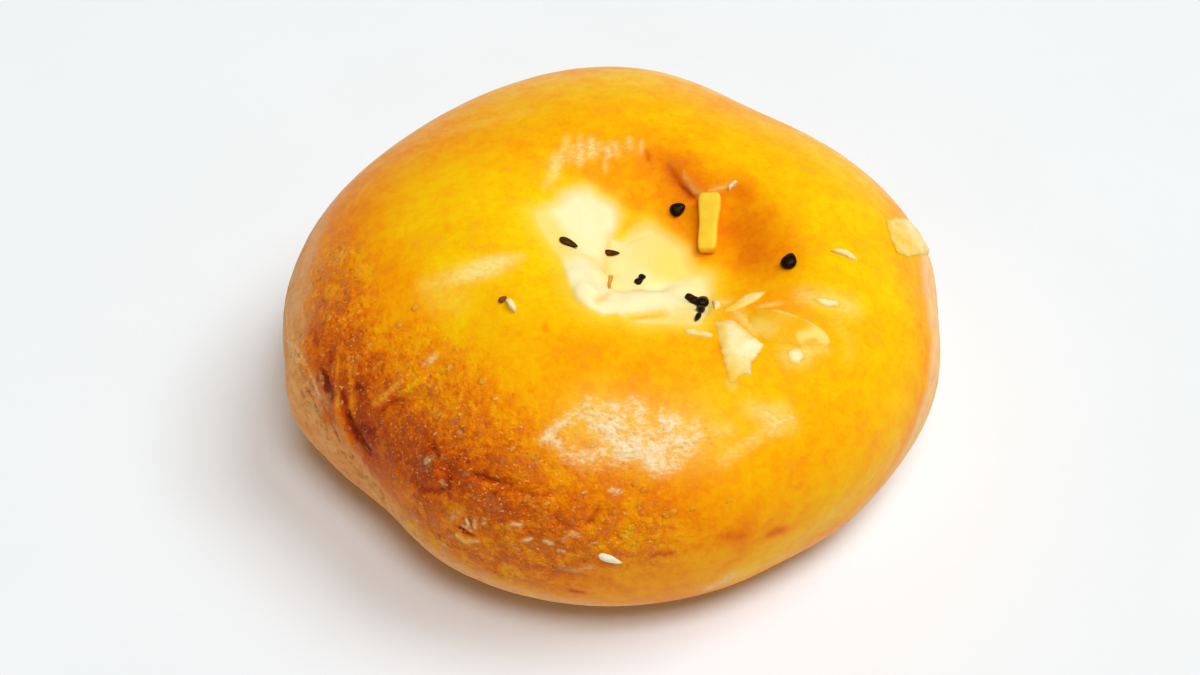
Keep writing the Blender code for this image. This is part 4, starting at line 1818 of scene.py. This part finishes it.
def turned_outward(points: Array, faces: list) -> list:
    """Turn a closed shell's faces over if they point inwards.

    Args:
        points: Places of the shell's points.
        faces: Corner numbers of its faces.

    Returns:
        The faces, pointing outwards.
    """
    volume = 0.0
    for face in faces:
        first = points[face[0]]
        for index in range(1, len(face) - 1):
            volume += np.dot(first, np.cross(points[face[index]], points[face[index + 1]]))
    return faces if volume > 0.0 else [tuple(reversed(face)) for face in faces]


MAIN_FLAKES = (
    Flake("flake_front_piece", (
        (714, 321), (729, 318), (742, 326), (753, 337), (764, 344), (760, 353), (752, 362), (751, 376),
        (742, 374), (734, 385), (728, 383), (723, 362), (719, 343)), CREAM,
          thickness=0.5, lift=0.5, lift_toward=-20.0, soak=0.47, rim_soak=0.5, rim_start=0.85,
          stands_for="flake_front", seed=3,
          soaks=strokes((0.7, (0.62, 0.56, 0.56), (720, 328), (722, 350), (727, 370)),
                 (0.9, 0.28, (738, 340), (740, 362)),
                 (0.8, 0.65, (743, 327), (755, 339)), (0.8, 0.1, (733, 330), (737, 350)),
                 # The stroke at level -0.3 keeps the flesh pale where the light falls: a painted highlight
                 (1.1, -0.3, (750, 351), (758, 346)), (1.0, 0.55, (736, 362), (740, 368)),
                 (1.1, 1.0, (730, 372), (736, 380)), (0.6, 0.45, (747, 372), (749, 362)))),
    Flake("flake_amber_piece", (
        (742, 321), (757, 307), (774, 308), (796, 314), (817, 324), (832, 336), (834, 343), (825, 347),
        (803, 348), (786, 345), (764, 343), (752, 331)), AMBER,
          thickness=0.24, sink=0.12, soak=0.9, rim_soak=0.0, stands_for="flake_amber", seed=5,
          soaks=strokes((0.45, (0.35, 0.1, 0.1, 0.2), (776, 309), (796, 316), (817, 327), (832, 338)),
                 (0.45, 0.3, (742, 322), (754, 331), (765, 338)),
                 (0.9, 1.1, (764, 341), (775, 343), (790, 343)),
                 (1.2, 1.3, (782, 338), (790, 331), (797, 325)),
                 (0.9, (0.1, 0.0, 0.1), (801, 336), (815, 334), (828, 339)),
                 (0.35, 1.1, (805, 342), (815, 340)),
                 (1.3, 1.0, (750, 317), (757, 311), (764, 317)),
                 (1.4, 0.55, (762, 322), (772, 331)), (0.9, 0.85, (780, 317), (806, 327)))),
    Flake("flake_sliver_piece", (
        (722, 312), (733, 303), (746, 295), (757, 292), (766, 292), (760, 299), (747, 306),
        (735, 311)), CREAM,
          thickness=0.5, lift=0.2, lift_toward=30.0, soak=0.2, rim_soak=0.9, rim_start=0.6, jagged=0.05,
          stands_for="flake_sliver", seed=7,
          soaks=strokes((1.2, 0.95, (724, 311), (734, 306)), (0.8, 0.45, (745, 301), (760, 295)))),
    Flake("flake_rim_piece", (
        (885, 220), (895, 217), (907, 219), (918, 230), (927, 241), (934, 250), (925, 256), (908, 257),
        (897, 254), (890, 238)), CREAM,
          thickness=0.45, stiff=0.2, lift=0.3, lift_toward=-20.0, soak=0.5, rim_soak=0.85, rim_start=0.6,
          jagged=0.16, stands_for="flake_rim", seed=9,
          soaks=strokes((1.2, 0.75, (893, 228), (903, 240), (912, 250)),
                 (0.6, -0.2, (888, 219), (890, 226)),
                 (1.0, 0.3, (905, 223), (912, 234), (915, 244)))),
)
SMALL_FLAKES = (
    Flake("rice_sliver", (
        (682, 330), (689, 328), (702, 331), (715, 335), (712, 338), (700, 337), (688, 335)), CREAM,
          soak=0.45, jagged=0.03, seed=21),
    Flake("back_sliver", ((727, 188), (731, 184), (736, 181), (738, 183), (733, 188), (729, 191)), CREAM,
          thickness=0.6, rim_soak=0.2, jagged=0.02, lift=0.4, lift_toward=40.0, seed=22),
    Flake("curl", (
        (830, 251), (838, 249), (846, 250), (853, 255), (858, 261), (851, 260), (844, 256),
        (837, 254)), CREAM,
          thickness=0.5, soak=0.2, rim_soak=0.6, lift=0.3, lift_toward=160.0, jagged=0.03, seed=23),
    Flake("right_spot", (
        (810, 298), (820, 297), (832, 299), (844, 303), (841, 308), (828, 308), (818, 305)), CREAM,
          thickness=0.3, edge_power=2.0, rim_soak=1.0, rim_start=0.2, jagged=0.05, soak=0.15, seed=24),
    Flake("crumb_by_clump", ((711, 301), (716, 299), (722, 303), (721, 309), (714, 311)), CREAM,
          thickness=0.4, edge_power=2.0, rim_soak=1.0, rim_start=0.2, soak=0.2, jagged=0.06, seed=25),
    Flake("tan_sliver", ((608, 276), (611, 275), (612, 282), (611, 289), (608, 289)), TOASTED,
          thickness=0.4, soak=0.5, jagged=0.03, seed=26),
    Flake("white_crumb", ((785, 351), (792, 346), (803, 348), (807, 358), (800, 367), (788, 364)), CREAM,
          thickness=0.3, edge_power=2.0, soak=0.1, rim_soak=1.0, rim_start=0.1, jagged=0.05, seed=27),
    Flake("left_crumb", ((505, 301), (511, 299), (515, 304), (518, 310), (515, 314), (509, 309)), CREAM,
          thickness=1.0, jagged=0.06, seed=28),
)


@dataclass(frozen=True)
class AlmondStick:
    """The cut stick of almond that leans on the dimple's back wall, in millimetres and pixels."""

    path: Outline = ((711, 198), (711, 212), (710, 226), (709, 240), (708, 254))
    width_top: float = 3.5
    width_low: float = 2.7
    thickness: float = 1.9
    gap: float = 0.15
    around: int = 32
    steps: int = 26
    squareness: float = 4.5
    end_share: float = 0.87
    end_growth: float = 0.09
    end_bulge: float = 0.12
    side_wave: tuple[float, float] = (0.05, 9.0)
    top_wave: tuple[float, float] = (0.06, 7.0)
    jagged: float = 0.012
    seed: int = 31

    def build(self, crust: Crust, finish: Material) -> Piece:
        """Build the stick along the wall.

        Args:
            crust: The bun's skin.
            finish: Finish of the stick.

        Returns:
            The stick.
        """
        grounded = [crust.canvas.cast(pixel) for pixel in self.path]
        line = np.array([place for place, _ in grounded])
        out = unit(np.mean([np.array(normal) for _, normal in grounded], axis=0))
        at = np.linspace(0.0, 1.0, self.steps)
        given = np.linspace(0.0, 1.0, len(line))
        middle = np.stack([np.interp(at, given, line[:, axis]) for axis in range(3)], axis=-1)
        middle = 0.5 * middle + 0.5 * (line[0] + at[:, None] * (line[-1] - line[0]))
        along = unit(line[-1] - line[0])
        side = np.cross(out, along)
        turns = np.linspace(0.0, 2.0 * np.pi, self.around, endpoint=False)
        power = 2.0 / self.squareness
        across = np.sign(np.cos(turns)) * np.abs(np.cos(turns)) ** power
        high = np.sign(np.sin(turns)) * np.abs(np.sin(turns)) ** power
        draw = np.random.default_rng(self.seed)
        raised = middle + out * (self.gap + 0.5 * self.thickness)
        points = []
        for index, share in enumerate(at):
            end = min(share, 1.0 - share) * (self.steps - 1)
            shrink = min(1.0, self.end_share + self.end_growth * end)
            half = 0.5 * (self.width_top + share * (self.width_low - self.width_top)) * shrink
            swell = 1.0 + self.side_wave[0] * math.sin(self.side_wave[1] * share)
            half *= swell + draw.normal(0.0, self.jagged)
            swell = 1.0 + self.top_wave[0] * math.sin(self.top_wave[1] * share + 1.0)
            tall = 0.5 * self.thickness * shrink * swell
            points.append(raised[index] + half * across[:, None] * side + tall * high[:, None] * out)
        bulge = self.end_bulge * along
        ends = [points[0].mean(axis=0) - bulge, points[-1].mean(axis=0) + bulge]
        points = np.concatenate([*points, np.array(ends)])
        faces, last = [], (self.steps - 1) * self.around
        for index in range(self.around):
            following = (index + 1) % self.around
            for step in range(self.steps - 1):
                near, far = step * self.around, (step + 1) * self.around
                faces.append((near + index, far + index, far + following, near + following))
            faces.append((len(points) - 2, index, following))
            faces.append((len(points) - 1, last + following, last + index))
        stick = make_piece("almond_stick_piece", points, turned_outward(points, faces), finish)
        add_field(stick.data, "soak", np.zeros(len(points)))
        return stick


@dataclass
class Almonds:
    """Every piece of almond on the bun."""

    crust: Crust
    groups: SurfaceGroups

    def __post_init__(self) -> None:
        """Build the finishes."""
        finishes = (CREAM, AMBER, YELLOW, TOASTED)
        self.finishes = {finish.tone: finish.build(self.groups) for finish in finishes}

    def flakes(self, flakes: list[Flake], name: str) -> Piece:
        """Build flakes of one finish as one piece.

        Args:
            flakes: The flakes.
            name: Name of the piece.

        Returns:
            The piece.
        """
        points, faces, soaked, total = [], [], [], 0
        for flake in flakes:
            places, joined, taken_up = flake.shape(self.crust)
            for face in turned_outward(places, joined):
                faces.append(tuple(corner + total for corner in face))
            points.append(places)
            soaked.append(taken_up)
            total += len(places)
        piece = make_piece(name, np.concatenate(points), faces, self.finishes[flakes[0].finish.tone])
        add_field(piece.data, "soak", np.concatenate(soaked))
        return piece

    def build(self) -> list[tuple[Piece, str]]:
        """Build every piece.

        Returns:
            The pieces, each with the node that it stands for or an empty name.
        """
        pieces = [(self.flakes([flake], flake.name), flake.stands_for) for flake in MAIN_FLAKES]
        pieces.append((AlmondStick().build(self.crust, self.finishes[AlmondTone.YELLOW]), "almond_stick"))
        for finish, name in ((CREAM, "cream_slivers"), (TOASTED, "toasted_sliver")):
            flakes = [flake for flake in SMALL_FLAKES if flake.finish is finish]
            pieces.append((self.flakes(flakes, name), ""))
        return pieces


@dataclass(frozen=True)
class Seed:
    """One sesame seed: its pixel, its turn in the picture in degrees and its sizes in millimetres."""

    pixel: Pixel
    turn: float
    length: float
    width: float
    thickness: float
    sink: float = 0.15


BLACK_SEEDS = (
    Seed((678, 210), 30.0, 2.6, 2.1, 1.2),
    Seed((790, 263), 80.0, 2.9, 2.4, 1.5),
    Seed((639, 282), 55.0, 1.7, 1.1, 0.8),
    Seed((642, 278), 20.0, 1.2, 1.0, 0.8),
    Seed((690, 299), 20.0, 1.7, 1.3, 1.0),
    Seed((696, 303), -30.0, 2.4, 1.6, 1.1),
    Seed((702, 304), 75.0, 3.2, 2.1, 1.3),
    Seed((700, 312), -105.0, 2.6, 1.3, 1.0, 0.05),
    Seed((697, 319), -112.0, 2.4, 0.8, 0.8, 0.0),
)
DUSKY_SEEDS = (Seed((568, 244), -32.0, 3.1, 1.5, 0.9), Seed((611, 254), -2.0, 2.7, 0.95, 0.9))
BROWN_SEEDS = (Seed((503, 300), 40.0, 1.4, 1.0, 0.7),)
LIGHT_SEEDS = (Seed((610, 558), -30.0, 3.8, 1.2, 0.8),)


@dataclass(frozen=True)
class SeedShape:
    """Geometry Nodes that lay tapered sesame seeds on points."""

    taper: float = 0.32
    uneven: float = 0.10
    uneven_size: float = 0.9
    around: int = 28
    rings: int = 18
    seed: int = 5

    def build(self) -> Tree:
        """Build the tree.

        Returns:
            The tree.
        """
        graph = ShapeGraph("sesame_seeds", {"Taper": self.taper, "Uneven": self.uneven}, {"Seed": self.seed})
        given = graph.given
        ball = graph.node("GeometryNodeMeshUVSphere", {
            "Segments": self.around, "Rings": self.rings, "Radius": 0.5 * MM})
        place = graph.node("GeometryNodeInputPosition").outputs[0]
        parts = graph.node("ShaderNodeSeparateXYZ", {0: place}).outputs
        share = graph.times(graph.over(parts["X"], 0.5 * MM), given["Taper"])
        slim = graph.minus(1.0, share)
        shaped = graph.node("ShaderNodeCombineXYZ", {
            "X": parts["X"], "Y": graph.times(parts["Y"], slim), "Z": graph.times(parts["Z"], slim)})
        tapered = graph.node("GeometryNodeSetPosition", {
            "Geometry": ball.outputs["Mesh"], "Position": shaped.outputs[0]}).outputs[0]
        soft = graph.node("GeometryNodeSetShadeSmooth", {0: tapered}).outputs[0]
        seeds = graph.node("GeometryNodeInstanceOnPoints", {
            "Points": given["Mesh"], "Instance": soft, "Rotation": graph.field("turn", vector=True),
            "Scale": graph.field("size", vector=True)}).outputs[0]
        whole = graph.node("GeometryNodeRealizeInstances", {0: seeds}).outputs[0]
        bumps = graph.noise(self.uneven_size, 2.0, graph.scale(place, 1.0 / MM))
        push = graph.times(graph.minus(bumps, 0.5), graph.times(given["Uneven"], 2.0 * MM))
        return graph.end(graph.move(whole, push))


@dataclass
class Seeds:
    """The sesame seeds of one colour."""

    name: str
    seeds: tuple[Seed, ...]
    finish: Material
    tree: Tree

    def build(self, crust: Crust) -> Piece:
        """Lay the seeds on the crust.

        Args:
            crust: The bun's skin.

        Returns:
            The seeds as one piece.
        """
        places, turns, sizes = [], [], []
        for seed in self.seeds:
            place, normal = crust.ground(seed.pixel)
            toward = math.radians(seed.turn)
            right, up, _ = crust.camera.axes()
            along = math.cos(toward) * right + math.sin(toward) * up
            along = unit(along - (along @ normal) * normal)
            across = np.cross(normal, along)
            turns.append(Matrix(np.stack([along, across, normal], axis=-1).tolist()).to_euler()[:])
            places.append(place + normal * (0.5 * seed.thickness - seed.sink))
            sizes.append((seed.length, seed.width, seed.thickness))
        piece = make_piece(self.name, np.array(places), [], self.finish)
        add_field(piece.data, "turn", np.array(turns))
        add_field(piece.data, "size", np.array(sizes))
        return settle(piece, self.tree, {"Finish": self.finish})


@dataclass(frozen=True)
class Floor:
    """The pale tabletop, in metres."""

    half_size: float = 1.6
    drop: float = 0.0002

    def build(self, finish: Material) -> Piece:
        """Build the tabletop.

        Args:
            finish: Finish of the tabletop.

        Returns:
            The tabletop.
        """
        reach = self.half_size / MM
        corners = np.array([(-reach, -reach), (reach, -reach), (reach, reach), (-reach, reach)])
        points = np.column_stack([corners, np.full(4, -self.drop / MM)])
        return make_piece("floor", points, [(0, 1, 2, 3)], finish)


@dataclass(frozen=True)
class SoftLamp:
    """A square area light that points at the bun, in metres and watts."""

    name: str
    place: tuple[float, float, float]
    size: float
    power: float
    color: Color = (1.0, 1.0, 1.0)
    aim: tuple[float, float, float] = (0.0, 0.0, 0.02)

    def build(self) -> None:
        """Add the lamp to the scene."""
        data = bpy.data.lights.new(self.name, "AREA")
        data.size = self.size
        data.energy = self.power
        data.color = self.color
        lamp = add_object(self.name, data)
        lamp.location = self.place
        lamp.rotation_euler = (Vector(self.aim) - Vector(self.place)).to_track_quat("-Z", "Y").to_euler()


@dataclass(frozen=True)
class StudioLight:
    """Soft studio light: a key from the back right, a front box and an even surround."""

    lamps: tuple[SoftLamp, ...] = (
        SoftLamp("key_lamp", (3.00, 0.66, 5.14), 3.15, 225.0, (0.82, 0.91, 1.0)),
        SoftLamp("front_lamp", (0.57, -1.68, 5.43), 2.1, 171.0, (0.84, 0.92, 1.0)),
    )
    surround: Color = (1.0, 0.78, 0.46)
    surround_strength: float = 0.23

    def build(self) -> None:
        """Add the lamps, the surround and the way that light turns to colour."""
        for lamp in self.lamps:
            lamp.build()
        world = bpy.data.worlds.new("studio")
        world.use_nodes = True
        background = world.node_tree.nodes["Background"]
        background.inputs["Color"].default_value = rgba(self.surround)
        background.inputs["Strength"].default_value = self.surround_strength
        scene = bpy.context.scene
        scene.world = world
        scene.view_settings.view_transform = "Standard"


def report(piece: Piece) -> None:
    """Log the size of a finished piece."""
    LOG.info("%s: %d points, %d faces", piece.name, len(piece.data.vertices), len(piece.data.polygons))


def main() -> None:
    """Build the bun, its toppings, the floor, the lights and the camera in order."""
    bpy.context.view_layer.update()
    camera = PhotoCamera()
    camera.build()
    groups = SurfaceGroups()

    crust = Crust(BunForm(), camera)
    crust_pieces = crust.build(CrustFinish().build(groups))
    for piece in crust_pieces:
        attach(piece, BODY)
        report(piece)
    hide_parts("bun")

    for piece, node in Almonds(crust, groups).build():
        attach(piece, BODY)
        if node:
            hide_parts(node)
        report(piece)

    tree = SeedShape().build()
    for name, seeds, finish in (
            ("black_seeds", BLACK_SEEDS, BLACK_SEED), ("dusky_seeds", DUSKY_SEEDS, DUSKY_SEED),
            ("brown_seed", BROWN_SEEDS, BROWN_SEED), ("light_seed", LIGHT_SEEDS, LIGHT_SEED)):
        piece = Seeds(name, seeds, finish.build(groups), tree).build(crust)
        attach(piece, BODY)
        report(piece)

    floor = Floor().build(FloorFinish().build(groups))
    StudioLight().build()


if __name__ == "__main__":
    logging.basicConfig(level=logging.INFO, format="%(message)s")
    main()
